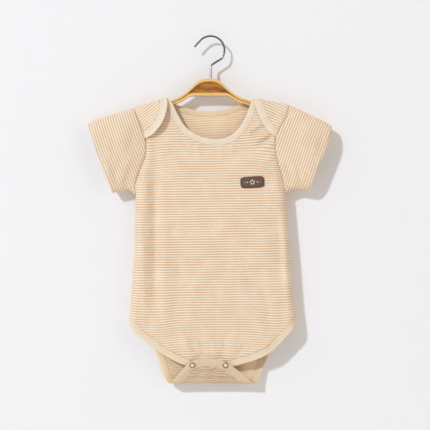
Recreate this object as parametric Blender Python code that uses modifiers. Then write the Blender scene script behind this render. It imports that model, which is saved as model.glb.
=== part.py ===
"""Baby romper with an envelope neck, hanging on a small hanger with a wire hook.

Every panel of the garment is one open sheet between the edges it was cut to, turned into a
wall of jersey with Solidify. The outlines are given square from the front, X to the right and
Z up from the inside of the hook, and a depth rule sets how far each panel stands out along Y:
the front panel bulges towards -Y, the back panel lies towards +Y, and both turn round to meet
at the side seams. The back panel is one cloth with its two shoulder flaps, which come over
the hanger onto the front, and its crotch flap, which folds up over the front and is snapped.
"""

import math

import bmesh
import bpy
import numpy as np
from mathutils import Vector

MM = 0.001  # all sizes and tables are in millimetres, and meshes are made in metres

# Driving dimensions
WALL = 1.2  # jersey
RIB_WALL = 1.8  # binding: the rib strip is folded over the raw edge
GAP = 0.3  # between pieces at every seam
SEAM = 0.45  # a seam's gap measured in the outline, where the sheets may be turned
LAYER = 2.5  # from the middle of a cloth to the middle of the flap that lies on it
SNAP_LAYER = 4.8  # the same at the crotch, where the snaps hold two cloths apart
SIDE_TURN = 12.0  # how far in from a side seam the cloth has turned flat
SHOULDER_TURN = 8.0  # height of the turn over the hanger's arms
UNDERARM_TURN = 18.0  # height over which the side's turn ends above the underarm
CROTCH_TURN = 6.0  # height of the turn at the bottom fold
CROTCH_RUN = 11.0  # length of cloth in either half of that turn
NECK_RIB = 9.0
FLAP_RIB = 11.0
BACK_NECK_RIB = 7.5
LEG_RIB = 10.0
CROTCH_RIB = 12.0
HOOK_RADIUS = 21.5  # to the middle of the wire
WIRE_RADIUS = 1.5
SHANK_RADIUS = 1.9

# Outlines, as (x, z) points that a smooth line passes through. Left and right are the
# viewer's, and the garment hangs a little unevenly, so the sides have their own tables.
SIDE_LEFT = ((-125.0, -443.0), (-120.5, -389.0), (-116.5, -316.5), (-114.5, -243.5))
SIDE_RIGHT = ((131.5, -444.0), (125.5, -389.0), (120.0, -316.5), (114.5, -242.0))
ARMHOLE_LEFT = (
    (-114.5, -243.5), (-116.0, -229.0), (-112.5, -216.0), (-107.0, -201.0), (-101.5, -187.5),
    (-99.0, -173.5), (-100.0, -157.0), (-104.5, -143.0), (-111.0, -128.0), (-118.5, -109.0),
)
ARMHOLE_RIGHT = (
    (114.5, -242.0), (113.0, -231.0), (111.0, -217.5), (107.0, -203.5), (102.0, -187.0),
    (100.0, -173.5), (100.5, -156.5), (105.0, -144.5), (112.5, -131.0), (118.5, -117.0),
    (120.5, -104.5),
)
SHOULDER = (  # across the neck it only says how soon the bindings have turned down
    (-118.5, -109.0), (-108.0, -105.2), (-98.0, -102.3), (-88.0, -99.5), (-79.0, -96.4),
    (-72.5, -93.8), (-67.0, -92.5), (-62.0, -92.2), (-54.0, -87.0), (54.0, -87.0),
    (61.0, -92.8), (66.0, -93.4), (73.0, -94.6), (80.0, -96.0), (101.5, -100.0),
    (112.0, -102.2), (120.5, -104.5),
)
FRONT_NECK = (
    (-63.6, -95.9), (-57.8, -104.0), (-49.5, -121.0), (-40.0, -136.5),
    (-27.5, -147.5), (-12.5, -154.5), (2.5, -157.2), (19.0, -156.5), (33.0, -151.0),
    (46.5, -136.5), (55.0, -121.0), (59.6, -108.5), (63.4, -96.9),
)
BACK_NECK = (
    (-67.0, -93.4), (-60.0, -99.3), (-50.0, -104.0), (-40.5, -107.5),
    (-30.0, -110.5), (-18.0, -113.0), (-4.0, -113.7), (12.5, -113.0), (31.5, -108.0),
    (45.5, -103.5), (59.0, -98.9), (66.0, -94.4),
)
FLAP_EDGE_LEFT = (
    (-67.0, -93.4), (-65.5, -102.0), (-66.5, -113.0), (-70.0, -126.0), (-77.0, -139.0),
    (-87.0, -150.0), (-99.0, -157.0),
)
FLAP_EDGE_RIGHT = (
    (66.0, -94.4), (67.0, -102.0), (70.5, -112.5), (77.0, -128.0), (84.5, -141.0),
    (92.5, -149.5), (100.0, -155.5),
)
FRONT_HEM = (
    (-125.0, -443.0), (-108.5, -460.0), (-90.0, -474.0), (-79.5, -482.5), (-63.0, -493.0),
    (-48.5, -500.5), (-37.5, -505.0), (-24.0, -509.0), (-1.0, -512.0), (21.0, -510.0),
    (33.5, -506.5), (51.5, -501.5), (69.5, -495.5), (89.5, -486.0), (102.5, -475.0),
    (115.0, -461.5), (131.5, -444.0),
)
BACK_LEG_LEFT = (
    (-125.0, -443.0), (-104.0, -461.0), (-88.0, -479.0), (-79.0, -500.5), (-73.5, -518.5),
    (-70.0, -527.0), (-64.5, -532.6),
)
BACK_LEG_RIGHT = (
    (131.5, -444.0), (112.0, -463.5), (95.0, -484.0), (86.0, -500.0), (80.0, -515.0),
    (76.0, -526.5), (69.5, -532.6),
)
CROTCH_SIDE_LEFT = ((-64.5, -532.6), (-54.5, -524.5), (-45.5, -513.5), (-37.5, -504.0))
CROTCH_SIDE_RIGHT = ((69.5, -532.6), (58.0, -524.4), (45.5, -514.0), (33.5, -505.0))
CROTCH_END = (
    (-37.5, -504.0), (-30.5, -498.5), (-19.5, -494.0), (-5.0, -492.0), (9.5, -494.0),
    (24.0, -498.5), (33.5, -505.0),
)
FOLD_HEIGHT = -532.6  # the middle of the cloth at the bottom fold
SLEEVE_TOP_LEFT = ((-118.5, -109.6), (-146.0, -118.2), (-173.5, -127.2), (-188.0, -133.5))
SLEEVE_TOP_RIGHT = ((120.5, -105.1), (138.0, -112.5), (158.0, -122.0), (177.0, -131.2), (186.0, -137.5))
SLEEVE_CUFF_LEFT = ((-188.0, -133.5), (-180.8, -154.0), (-172.5, -180.5), (-164.0, -206.0), (-150.0, -239.5))
SLEEVE_CUFF_RIGHT = ((186.0, -137.5), (179.5, -162.5), (170.5, -186.0), (160.5, -209.5), (149.5, -236.5))
SLEEVE_UNDER_LEFT = ((-115.9, -242.3), (-121.5, -237.5), (-128.0, -234.5), (-138.0, -236.5), (-150.0, -239.5))
SLEEVE_UNDER_RIGHT = ((115.9, -240.8), (122.0, -236.5), (129.0, -233.8), (139.0, -234.8), (149.5, -236.5))

# How far the cloth stands out at its fullest, by height
FULLNESS_COLUMNS = ("height", "front", "back")
FULLNESS = (
    (-90.0, 7.5, 7.0),
    (-130.0, 8.5, 7.0),
    (-200.0, 12.5, 8.0),
    (-320.0, 16.0, 9.0),
    (-420.0, 14.0, 9.0),
    (-470.0, 11.5, 8.0),
    (-500.0, 10.0, 7.0),
    (-535.0, 5.5, 6.5),
)
# How far the armhole seam stands out from the middle, by height above the underarm
ARMHOLE_COLUMNS = ("above", "front", "back")
ARMHOLE = (
    (0.0, 0.5, 0.5),
    (2.5, 2.6, 2.2),
    (8.0, 5.0, 4.2),
    (20.0, 7.6, 6.2),
    (45.0, 9.0, 7.0),
    (90.0, 9.0, 7.0),
    (115.0, 8.2, 7.0),
    (140.0, 7.5, 7.0),
)
# Soft folds: a line from (x0, z0) to (x1, z1), its half width and how far it stands out
FOLD_COLUMNS = ("x0", "z0", "x1", "z1", "half_width", "out")
FRONT_FOLDS = (
    (-85.0, -152.0, -82.0, -442.0, 8.0, -5.5),
    (-106.0, -200.0, -105.0, -420.0, 8.0, 2.0),
    (-66.0, -300.0, -70.0, -460.0, 15.0, 1.6),
    (98.0, -262.0, 106.0, -400.0, 12.0, -2.6),
    (64.0, -153.0, 94.0, -139.0, 4.5, -2.4),
    (70.0, -170.0, 99.0, -154.0, 4.5, -2.4),
    (80.0, -196.0, 104.0, -214.0, 6.0, -1.4),
    (-101.0, -178.0, -93.0, -216.0, 6.0, -1.2),
    (-30.0, -496.0, -48.0, -440.0, 7.0, 1.5),
    (-8.0, -496.0, -14.0, -446.0, 6.0, -1.2),
    (26.0, -496.0, 42.0, -442.0, 7.0, 1.5),
    (20.0, -210.0, 34.0, -330.0, 18.0, 1.3),
    (66.0, -420.0, 92.0, -506.0, 15.0, 2.6),
)
BACK_FOLDS = (
    (-70.0, -150.0, -92.0, -330.0, 12.0, 2.4),
    (-38.0, -170.0, -46.0, -400.0, 16.0, -1.8),
    (8.0, -150.0, 2.0, -430.0, 18.0, 1.8),
    (60.0, -160.0, 84.0, -380.0, 13.0, 2.2),
    (34.0, -260.0, 44.0, -460.0, 14.0, -1.7),
    (-60.0, -430.0, -30.0, -500.0, 9.0, 1.4),
    (66.0, -430.0, 34.0, -500.0, 9.0, 1.4),
    (88.0, -430.0, 72.0, -532.0, 14.0, 3.6),
)
CROTCH_FOLDS = (
    (-22.0, -503.5, -9.0, -505.5, 3.0, -1.0),
    (8.0, -506.0, 18.0, -504.0, 3.0, -0.8),
    (-44.0, -521.0, 2.0, -515.0, 3.0, 0.6),
    (4.0, -517.0, 50.0, -523.0, 3.0, 0.6),
)
SLEEVE_FOLDS_LEFT = (
    (-128.0, -232.0, -122.0, -196.0, 6.0, -2.0),
    (-140.0, -130.0, -136.0, -190.0, 10.0, 1.5),
)
SLEEVE_FOLDS_RIGHT = (
    (126.0, -230.0, 116.0, -190.0, 6.0, -2.2),
    (150.0, -128.0, 142.0, -196.0, 10.0, 1.5),
)
FLAP_LIFT_LEFT = 10.0  # how far the free edge of each shoulder flap stands off the front
FLAP_LIFT_RIGHT = 1.4
CUFF_FRONT = 14.5
CUFF_BACK = 10.0

SNAPS = ((-27.5, -503.0), (23.0, -503.0))
SNAP_RING_RADIUS = 3.7
SNAP_RING_WIRE = 0.75
SOCKET_RADIUS = 4.6
BADGE_CENTRE = (64.0, -224.0)
BADGE_HALF_WIDTH = 17.5
BADGE_HALF_HEIGHT = 8.0
BADGE_TILT = math.radians(3.0)
BADGE_WALL = 1.2

# The hanger's outline by its stations along X: its top edge, its lower edge, how thick its two
# rims are, half the depth of a rim, and half the thickness of the web between them
HANGER_COLUMNS = ("x", "top", "bottom", "rim", "half_depth", "half_web")
HANGER = (
    (-115.0, -114.8, -117.6, 1.0, 2.8, 2.4),
    (-112.0, -113.4, -118.8, 1.9, 4.2, 3.4),
    (-98.0, -109.0, -115.7, 2.7, 4.4, 3.2),
    (-78.0, -104.2, -111.2, 2.9, 4.4, 3.2),
    (-67.0, -100.8, -107.8, 2.9, 4.2, 3.2),
    (-56.0, -96.4, -103.8, 3.1, 4.4, 3.2),
    (-48.0, -92.4, -101.0, 3.5, 5.0, 3.2),
    (-40.0, -87.5, -96.8, 3.6, 5.0, 3.0),
    (-33.5, -82.0, -92.4, 3.9, 5.0, 2.2),
    (-26.0, -74.5, -91.0, 4.3, 5.0, 1.6),
    (-19.0, -68.6, -91.0, 4.6, 5.0, 1.6),
    (-12.0, -65.4, -91.0, 4.6, 5.0, 1.6),
    (-5.0, -64.4, -91.0, 4.6, 5.0, 1.6),
    (5.5, -64.5, -91.0, 4.6, 5.0, 1.6),
    (12.0, -66.9, -91.0, 4.6, 5.0, 1.6),
    (19.0, -72.0, -91.0, 4.6, 5.0, 1.6),
    (26.0, -79.0, -91.2, 4.3, 5.0, 1.8),
    (33.5, -85.5, -95.0, 3.8, 5.0, 2.6),
    (40.0, -90.0, -99.4, 3.8, 5.0, 3.0),
    (48.0, -93.8, -102.0, 3.4, 5.0, 3.2),
    (57.0, -96.8, -105.0, 3.4, 4.6, 3.2),
    (66.0, -101.2, -108.4, 3.0, 4.4, 3.2),
    (80.0, -103.8, -110.8, 2.9, 4.4, 3.2),
    (101.0, -107.8, -114.6, 2.7, 4.4, 3.2),
    (112.0, -110.8, -116.2, 1.9, 4.2, 3.4),
    (115.0, -112.0, -115.0, 1.0, 2.8, 2.4),
)
STEM_X = 0.5
STEM_FOOT = -66.9
BORE_FLOOR = -67.2
STEM_BEND = -45.5
HOOK_START = math.radians(-38.0)
HOOK_END = math.radians(142.0)
HOOK_TIP = (-25.0, -15.5)

# Names and counts
COLLECTION = "baby_romper"
CUTTERS = "cutters"
FRONT, BACK = 1, 2  # columns of the two tables of fullness
OUTER_DROP = 0.9  # from the top of the shoulder to the middle of the outer cloth
INNER_DROP = 3.8  # and to the middle of the front panel under it
MEET = 0.02  # points this close are one
HEM_RIB_ALONG_SIDE = 13.5  # the leg binding is cut off slanting by the side seam
SIDE_ROWS = 8
LEG_ROWS = 5
TONGUE_ROWS = 9
TONGUE_CORNER = -22.5
SHOULDER_COLUMNS = 2
SLEEVE_ROWS = 8
SLEEVE_SEAM = 0.6
SLEEVE_SWELL = 2.5
CUFF_TURN = 26.0
# Stations up the armhole, as heights above the underarm
ARM_RISES = (0.0, 3.5, 9.5, 18.5, 31.5, 45.5, 59.5, 73.5, 86.5)
FLAP_SEAM_RISE = 97.5  # where the flap's striped part ends at the armhole
FLAP_TIP_RISE = 86.5
FLAP_RISES = (103.0, 110.0, 118.0)
SLEEVE_RISES = ARM_RISES + (FLAP_SEAM_RISE,) + FLAP_RISES
FLAP_CORNER_RISE = 117.0
FLAP_STEP = 14.0  # the sleeve seam steps from the flap to the front over this height
SNAP_CLEAR = 0.45
SOCKET_BEVEL = 0.5
BADGE_RINGS = (0.35, 0.7, 1.0)
BADGE_SEGMENTS = 32
BADGE_CORNER = 0.45  # under 1 squares the oval into a rounded patch
RIM_ROUND = 1.2
HANGER_DEEP = 25.0
WEB_SLOPE = 0.25
HANGER_TOP = -64.4

COLOURS = {
    "jersey": ("E9D1B6", 0.9, 0.0),
    "rib": ("EFDCC2", 0.9, 0.0),
    "badge": ("6A5144", 0.85, 0.0),
    "snap": ("A8A39B", 0.3, 1.0),
    "hanger": ("D19A45", 0.25, 0.0),
    "hook": ("8E8B88", 0.2, 1.0),
}


def clear_scene():
    for obj in list(bpy.data.objects):
        bpy.data.objects.remove(obj, do_unlink=True)


def linear(channel):
    share = channel / 255.0
    return share / 12.92 if share <= 0.04045 else ((share + 0.055) / 1.055) ** 2.4


def make_material(name):
    code, roughness, metallic = COLOURS[name]
    material = bpy.data.materials.new(name)
    material.use_nodes = True
    shader = material.node_tree.nodes["Principled BSDF"]
    colour = [linear(int(code[i : i + 2], 16)) for i in (0, 2, 4)]
    shader.inputs["Base Color"].default_value = (*colour, 1.0)
    shader.inputs["Roughness"].default_value = roughness
    shader.inputs["Metallic"].default_value = metallic
    return material


# Lines and patches in the front view


def smooth_line(points, steps=8):
    """A Catmull-Rom line through the points, as an array of (x, z)."""
    knots = np.array(points, float)
    knots = np.vstack([2 * knots[0] - knots[1], knots, 2 * knots[-1] - knots[-2]])
    line = []
    for i in range(1, len(knots) - 2):
        before, start, end, after = knots[i - 1 : i + 3]
        for t in np.linspace(0.0, 1.0, steps, endpoint=False):
            line.append(
                0.5
                * (
                    2 * start
                    + (end - before) * t
                    + (2 * before - 5 * start + 4 * end - after) * t**2
                    + (3 * start - before - 3 * end + after) * t**3
                )
            )
    line.append(knots[-2])
    return np.array(line)


def at_height(line, z):
    """The x of a line at a height. The line may run either way."""
    rising = line if line[0, 1] < line[-1, 1] else line[::-1]
    return float(np.interp(z, rising[:, 1], rising[:, 0]))


def at_x(line, x):
    return float(np.interp(x, line[:, 0], line[:, 1]))


def length_shares(line):
    """The share of a line's length at each of its points."""
    steps = np.linalg.norm(np.diff(line, axis=0), axis=1)
    run = np.concatenate([[0.0], np.cumsum(steps)])
    return run / run[-1]


def at_shares(line, shares):
    """Points at shares of a line's length."""
    run = length_shares(line)
    return np.column_stack([np.interp(shares, run, line[:, i]) for i in (0, 1)])


def moved(line, widths):
    """The line moved sideways, to its left as it runs where the width is positive."""
    along = np.gradient(line, axis=0)
    along /= np.linalg.norm(along, axis=1)[:, None]
    return line + np.column_stack([-along[:, 1], along[:, 0]]) * np.broadcast_to(widths, len(line))[:, None]


def turn_steps(turn, count=4):
    """Distances from a turned edge that follow a quarter circle, without its far end."""
    return [turn * (1 - math.cos(math.pi / 2 * i / count)) for i in range(count)]


def patch(left, right, bottom, top):
    """Rows of points between four edges that meet at the corners. Left and right have one
    point a row, bottom and top one a column."""
    left, right, bottom, top = (np.asarray(edge, float) for edge in (left, right, bottom, top))
    across = (length_shares(bottom) + length_shares(top)) / 2
    up = (length_shares(left) + length_shares(right)) / 2
    s = across[None, :, None]
    t = up[:, None, None]
    sides = (1 - s) * left[:, None] + s * right[:, None]
    ends = (1 - t) * bottom[None] + t * top[None]
    low = (1 - s) * bottom[0] + s * bottom[-1]
    high = (1 - s) * top[0] + s * top[-1]
    return sides + ends - (1 - t) * low - t * high


class Rib:
    """A binding strip: its free edge, the seam along its other edge, and the panel's own edge
    just past that seam, all at the same stations."""

    def __init__(self, edge, widths):
        self.edge = edge
        self.seam = moved(edge, widths)
        self.panel = moved(edge, widths + np.sign(widths) * SEAM)
        self.stations = np.arange(len(edge))

    def pin_end(self, index, seam, panel):
        """Where the strip is cut off by another seam, its end lies on that seam."""
        self.seam[index] = seam
        self.panel[index] = panel

    def pin_ends_to(self, top, width):
        """Both ends cross the turn over the shoulder straight."""
        for index, way in ((0, -1.0), (-1, 1.0)):
            for line, out in ((self.edge, 0.0), (self.seam, width), (self.panel, width + SEAM)):
                line[index, 0] = self.edge[index, 0] + way * out
                line[index, 1] = top(line[index, 0])

    def where_panel_is(self, values, axis, first=0, last=None):
        """Stations at which the panel's edge has these x (axis 0) or heights (axis 1)."""
        part = slice(first, last)
        line, stations = self.panel[part, axis], self.stations[part]
        if line[0] > line[-1]:
            line, stations = line[::-1], stations[::-1]
        return np.interp(values, line, stations)

    def at_lengths(self, shares):
        return np.interp(shares, length_shares(self.panel), self.stations)

    def points(self, line, stations):
        return np.column_stack([np.interp(stations, self.stations, line[:, i]) for i in (0, 1)])

    def strip(self, stations, place, count=3):
        """The strip's middle surface: across it from the free edge to the seam, at each station."""
        edge, seam = self.points(self.edge, stations), self.points(self.seam, stations)
        shares = np.linspace(0.0, 1.0, count)
        return np.array([[place(*(e + (s - e) * share)) for share in shares] for e, s in zip(edge, seam)])


# The outlines as lines, and how far each cloth stands out along Y


def joined(*tables):
    return np.vstack([smooth_line(table)[:-1] for table in tables[:-1]] + [smooth_line(tables[-1])])


LEFT = joined(SIDE_LEFT, ARMHOLE_LEFT)
RIGHT = joined(SIDE_RIGHT, ARMHOLE_RIGHT)
SHOULDER_LINE = np.array(SHOULDER)
UNDERARM_LEFT = SIDE_LEFT[-1][1]
UNDERARM_RIGHT = SIDE_RIGHT[-1][1]
FLAP_LINE_LEFT = smooth_line(FLAP_EDGE_LEFT)
FLAP_LINE_RIGHT = smooth_line(FLAP_EDGE_RIGHT)


def outer_top(x):
    return at_x(SHOULDER_LINE, x) - OUTER_DROP


def inner_top(x):
    return at_x(SHOULDER_LINE, x) - INNER_DROP


def turned(share):
    """How far out a cloth has come, from 0 at a turned edge to 1 where it lies flat."""
    return math.sqrt(1 - (1 - min(max(share, 0.0), 1.0)) ** 2)


def folds_out(x, z, folds):
    out = 0.0
    for x0, z0, x1, z1, half_width, height in folds:
        along = np.array((x1 - x0, z1 - z0))
        from_start = np.array((x - x0, z - z0))
        length = np.linalg.norm(along)
        share = float(from_start @ along) / length**2
        aside = abs(float(from_start[0] * along[1] - from_start[1] * along[0])) / length
        if 0 < share < 1 and aside < 3 * half_width:
            out += height * math.sin(math.pi * share) ** 0.7 * math.exp(-((aside / half_width) ** 2))
    return out


def by_height(table, z, column):
    rows = np.array(table)
    rows = rows[np.argsort(rows[:, 0])]
    return float(np.interp(z, rows[:, 0], rows[:, column]))


def armhole_out(x, z, face):
    underarm = UNDERARM_LEFT if x < 0 else UNDERARM_RIGHT
    return by_height(ARMHOLE, z - underarm, face)


def side_seam_share(x, z):
    """1 along a side seam, where the cloth turns round the side, and 0 up an armhole, where
    it runs on flat into the sleeve."""
    underarm = UNDERARM_LEFT if x < 0 else UNDERARM_RIGHT
    return min(max(1 - (z - underarm) / UNDERARM_TURN, 0.0), 1.0)


def stands_out(x, z, face, folds):
    """How far a panel stands out from the middle of the garment."""
    aside = min(x - at_height(LEFT, z), at_height(RIGHT, z) - x)
    seam = armhole_out(x, z, face)
    full = by_height(FULLNESS, z, face) + folds_out(x, z, folds)
    share = min(max(aside / SIDE_TURN, 0.0), 1.0)
    round_share = side_seam_share(x, z)
    rise = round_share * turned(share) + (1 - round_share) * share**2 * (3 - 2 * share)
    return seam + (full - seam) * rise


def flap_lift(x, z):
    """The shoulder flaps hang clear of the front towards their free edges."""
    side, edge, lift = (LEFT, FLAP_LINE_LEFT, FLAP_LIFT_LEFT) if x < 0 else (RIGHT, FLAP_LINE_RIGHT, FLAP_LIFT_RIGHT)
    seam_x, edge_x = at_height(side, z), at_height(edge, z)
    across = min(max((x - seam_x) / (edge_x - seam_x + math.copysign(1.0, edge_x - seam_x)), 0.0), 1.0)
    down = min(max((edge[0, 1] - z) / (edge[0, 1] - edge[-1, 1]), 0.0), 1.0)
    return lift * across**1.5 * math.sin(math.pi * down**1.4) ** 0.7


def front_place(x, z):
    out = stands_out(x, z, FRONT, FRONT_FOLDS) * turned((inner_top(x) - z) / SHOULDER_TURN)
    return (x, -out, z)


def back_place(x, z):
    over = turned((outer_top(x) - z) / SHOULDER_TURN) * turned((z - FOLD_HEIGHT) / CROTCH_TURN)
    return (x, stands_out(x, z, BACK, BACK_FOLDS) * over, z)


def shoulder_flap_place(x, z):
    out = stands_out(x, z, FRONT, ()) + LAYER + flap_lift(x, z)
    return (x, -out * turned((outer_top(x) - z) / SHOULDER_TURN), z)


def crotch_flap_place(x, z):
    out = by_height(FULLNESS, z, FRONT) + SNAP_LAYER + folds_out(x, z, CROTCH_FOLDS)
    return (x, -out * turned((z - FOLD_HEIGHT) / CROTCH_TURN), z)


def run_at(z, way):
    """The length along the cloth from the bottom fold to a height, up the back where the way is
    1 and up the crotch flap where it is -1."""
    rise = z - FOLD_HEIGHT
    share = min(rise / CROTCH_TURN, 1.0)
    return way * (CROTCH_RUN * math.acos(1 - share) / (math.pi / 2) + max(rise - CROTCH_TURN, 0.0))


def height_at(run):
    """The height of the cloth at a length from the bottom fold, either way."""
    share = min(abs(run) / CROTCH_RUN, 1.0)
    return FOLD_HEIGHT + CROTCH_TURN * (1 - math.cos(math.pi / 2 * share)) + max(abs(run) - CROTCH_RUN, 0.0)


def crotch_place(x, run):
    """The lower back panel by the length along its cloth from the bottom fold."""
    return back_place(x, height_at(run)) if run > 0 else crotch_flap_place(x, height_at(run))


def placed(points, place):
    return np.array([[place(x, z) for x, z in row] for row in points])


# Cloth


def new_object(name, mesh, material):
    obj = bpy.data.objects.new(name, mesh)
    mesh.materials.append(material)
    bpy.data.collections[COLLECTION].objects.link(obj)
    return obj


def cloth(name, grids, wall, material, wraps=False):
    """One wall of cloth from grids of points on its middle surface, joined where they meet."""
    work = bmesh.new()
    for grid in grids:
        corners = [[work.verts.new(np.array(point) * MM) for point in row] for row in grid]
        for low, high in zip(corners, corners[1:]):
            if wraps:
                low, high = low + low[:1], high + high[:1]
            for i in range(len(low) - 1):
                work.faces.new((low[i], low[i + 1], high[i + 1], high[i]))
    bmesh.ops.remove_doubles(work, verts=work.verts, dist=MEET * MM)
    bmesh.ops.recalc_face_normals(work, faces=work.faces)
    mesh = bpy.data.meshes.new(name)
    work.to_mesh(mesh)
    work.free()
    mesh.shade_smooth()
    obj = new_object(name, mesh, material)
    solidify = obj.modifiers.new("Wall", "SOLIDIFY")
    solidify.thickness = wall * MM
    solidify.offset = 0.0
    return obj


def armhole_heights(underarm, top, rises):
    """Heights of the stations round an armhole, from the underarm up."""
    upper = [top - distance for distance in turn_steps(SHOULDER_TURN)][::-1]
    return [underarm + rise for rise in rises] + [top - SHOULDER_TURN] + upper


def top_of_side(side, top):
    """Where an armhole meets the shoulder's turn."""
    z = side[-1, 1]
    for _ in range(20):
        z = top(at_height(side, z))
    return z


def side_points(side, heights):
    return [(at_height(side, z), z) for z in heights]


def shoulder_xs(start, end):
    """Columns across a shoulder from the armhole to the neck."""
    way = math.copysign(1.0, end - start)
    near = [start + way * distance for distance in turn_steps(SIDE_TURN) + [SIDE_TURN]]
    return near + list(np.linspace(near[-1], end, SHOULDER_COLUMNS + 1))[1:-1]


def across_panel(start, end, count):
    """Columns from side seam to side seam, closer where the cloth turns at the sides."""
    near = turn_steps(SIDE_TURN) + [SIDE_TURN]
    middle = list(np.linspace(start + SIDE_TURN, end - SIDE_TURN, count - 2 * len(near) + 2))[1:-1]
    return [start + distance for distance in near] + middle + [end - distance for distance in near[::-1]]


def top_edge(rib, top, stations):
    """A panel's upper edge: left shoulder, the neck's seam and right shoulder."""
    neck = rib.points(rib.panel, stations)
    left_x = at_height(LEFT, top_of_side(LEFT, top))
    right_x = at_height(RIGHT, top_of_side(RIGHT, top))
    left = [(x, top(x)) for x in shoulder_xs(left_x, neck[0, 0])]
    right = [(x, top(x)) for x in shoulder_xs(right_x, neck[-1, 0])][::-1]
    return np.vstack([left, neck, right]), len(left)


def neck_rib(table, widths, top, end_width):
    rib = Rib(smooth_line(table), widths)
    rib.pin_ends_to(top, end_width)
    return rib


def neck_stations(rib, count):
    """Stations along a neck seam, closer where it turns over the shoulders."""
    length = np.linalg.norm(np.diff(rib.panel, axis=0), axis=1).sum()
    near = np.array(turn_steps(SHOULDER_TURN, 3)) / length
    first = SHOULDER_TURN / length
    middle = np.linspace(first, 1 - first, count)
    return rib.at_lengths(np.concatenate([near, middle, 1 - near[::-1]]))


def make_front(jersey, rib_cloth):
    neck = neck_rib(FRONT_NECK, -NECK_RIB, inner_top, NECK_RIB)
    neck_at = neck_stations(neck, 13)
    top, _ = top_edge(neck, inner_top, neck_at)

    hem = Rib(smooth_line(FRONT_HEM), LEG_RIB)
    for index, side in ((0, LEFT), (-1, RIGHT)):
        z = side[0, 1] + HEM_RIB_ALONG_SIDE
        hem.pin_end(index, (at_height(side, z), z), (at_height(side, z + SEAM), z + SEAM))
    hem_at = hem.where_panel_is(across_panel(hem.panel[0, 0], hem.panel[-1, 0], len(top)), 0)
    bottom = hem.points(hem.panel, hem_at)

    sides = []
    for side, underarm, end in ((LEFT, UNDERARM_LEFT, bottom[0]), (RIGHT, UNDERARM_RIGHT, bottom[-1])):
        top_z = top_of_side(side, inner_top)
        lower = list(np.linspace(end[1], underarm, SIDE_ROWS + 1))[:-1]
        upper = list(np.linspace(underarm + ARM_RISES[-1], top_z - SHOULDER_TURN, 5))[1:-1]
        rises = list(ARM_RISES) + [z - underarm for z in upper]
        sides.append(side_points(side, lower + armhole_heights(underarm, top_z, rises)))
    points = patch(sides[0], sides[1], bottom, top)
    cloth("front_panel", [placed(points, front_place)], WALL, jersey)
    cloth("neck_binding_front", [neck.strip(neck_at, front_place)], RIB_WALL, rib_cloth)
    cloth("leg_binding_front", [hem.strip(hem_at, front_place)], RIB_WALL, rib_cloth)


def flap_rib(table, side, underarm, width, neck, neck_end):
    """The binding along a shoulder flap, from the back neck's binding down to the armhole."""
    line = smooth_line(table)
    line[-1, 0] = at_height(side, line[-1, 1])
    rib = Rib(line, width)
    z = underarm + FLAP_SEAM_RISE
    rib.pin_end(-1, (at_height(side, z - 2 * GAP), z - 2 * GAP), (at_height(side, z), z))
    rib.pin_end(0, neck.seam[neck_end], neck.panel[neck_end])
    rib.edge[0] = neck.edge[neck_end]
    return rib


def make_flap(shoulder, side, underarm, rib):
    """The flap panel that comes down from a shoulder's points, and the rib's stations."""
    top_z = top_of_side(side, outer_top)
    heights = armhole_heights(underarm, top_z, (FLAP_SEAM_RISE,) + FLAP_RISES)[::-1]
    seam = side_points(side, heights)
    turn = turn_steps(SHOULDER_TURN) + [SHOULDER_TURN]
    corner = rib.where_panel_is([underarm + FLAP_CORNER_RISE], 1)[0]
    start_z = rib.panel[0, 1]
    corner_z = rib.points(rib.panel, [corner])[0, 1]
    falls = [start_z - distance for distance in turn]
    falls += list(np.linspace(falls[-1], corner_z, len(heights) - len(turn) + 1))[1:]
    down_at = rib.where_panel_is(falls, 1)
    down_at[0], down_at[-1] = 0.0, corner
    shares = length_shares(np.array(shoulder))
    across_at = corner + (rib.stations[-1] - corner) * (1 - shares)
    free = rib.points(rib.panel, across_at)
    points = patch(seam, rib.points(rib.panel, down_at), shoulder, free)
    stations = np.concatenate([down_at, across_at[::-1][1:]])
    return placed(points, shoulder_flap_place), stations


def crotch_line():
    """The back panel's whole leg and crotch edge, by x and the length along the cloth."""
    flap = CROTCH_SIDE_LEFT[1:] + CROTCH_END[1:] + CROTCH_SIDE_RIGHT[-2:0:-1]
    rows = [(x, run_at(z, 1)) for x, z in BACK_LEG_LEFT]
    rows += [(x, run_at(z, -1)) for x, z in flap]
    rows += [(x, run_at(z, 1)) for x, z in BACK_LEG_RIGHT[::-1]]
    return smooth_line(rows)


def crotch_rib():
    line = crotch_line()
    widths = np.interp(line[:, 1], (-CROTCH_RUN, 2 * CROTCH_RUN), (CROTCH_RIB, LEG_RIB))
    rib = Rib(line, widths)
    for index, side in ((0, LEFT), (-1, RIGHT)):
        z = side[0, 1] + HEM_RIB_ALONG_SIDE
        seam = (at_height(side, z), run_at(z, 1))
        rib.pin_end(index, seam, (at_height(side, z + SEAM), seam[1] + SEAM))
    return rib


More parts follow.
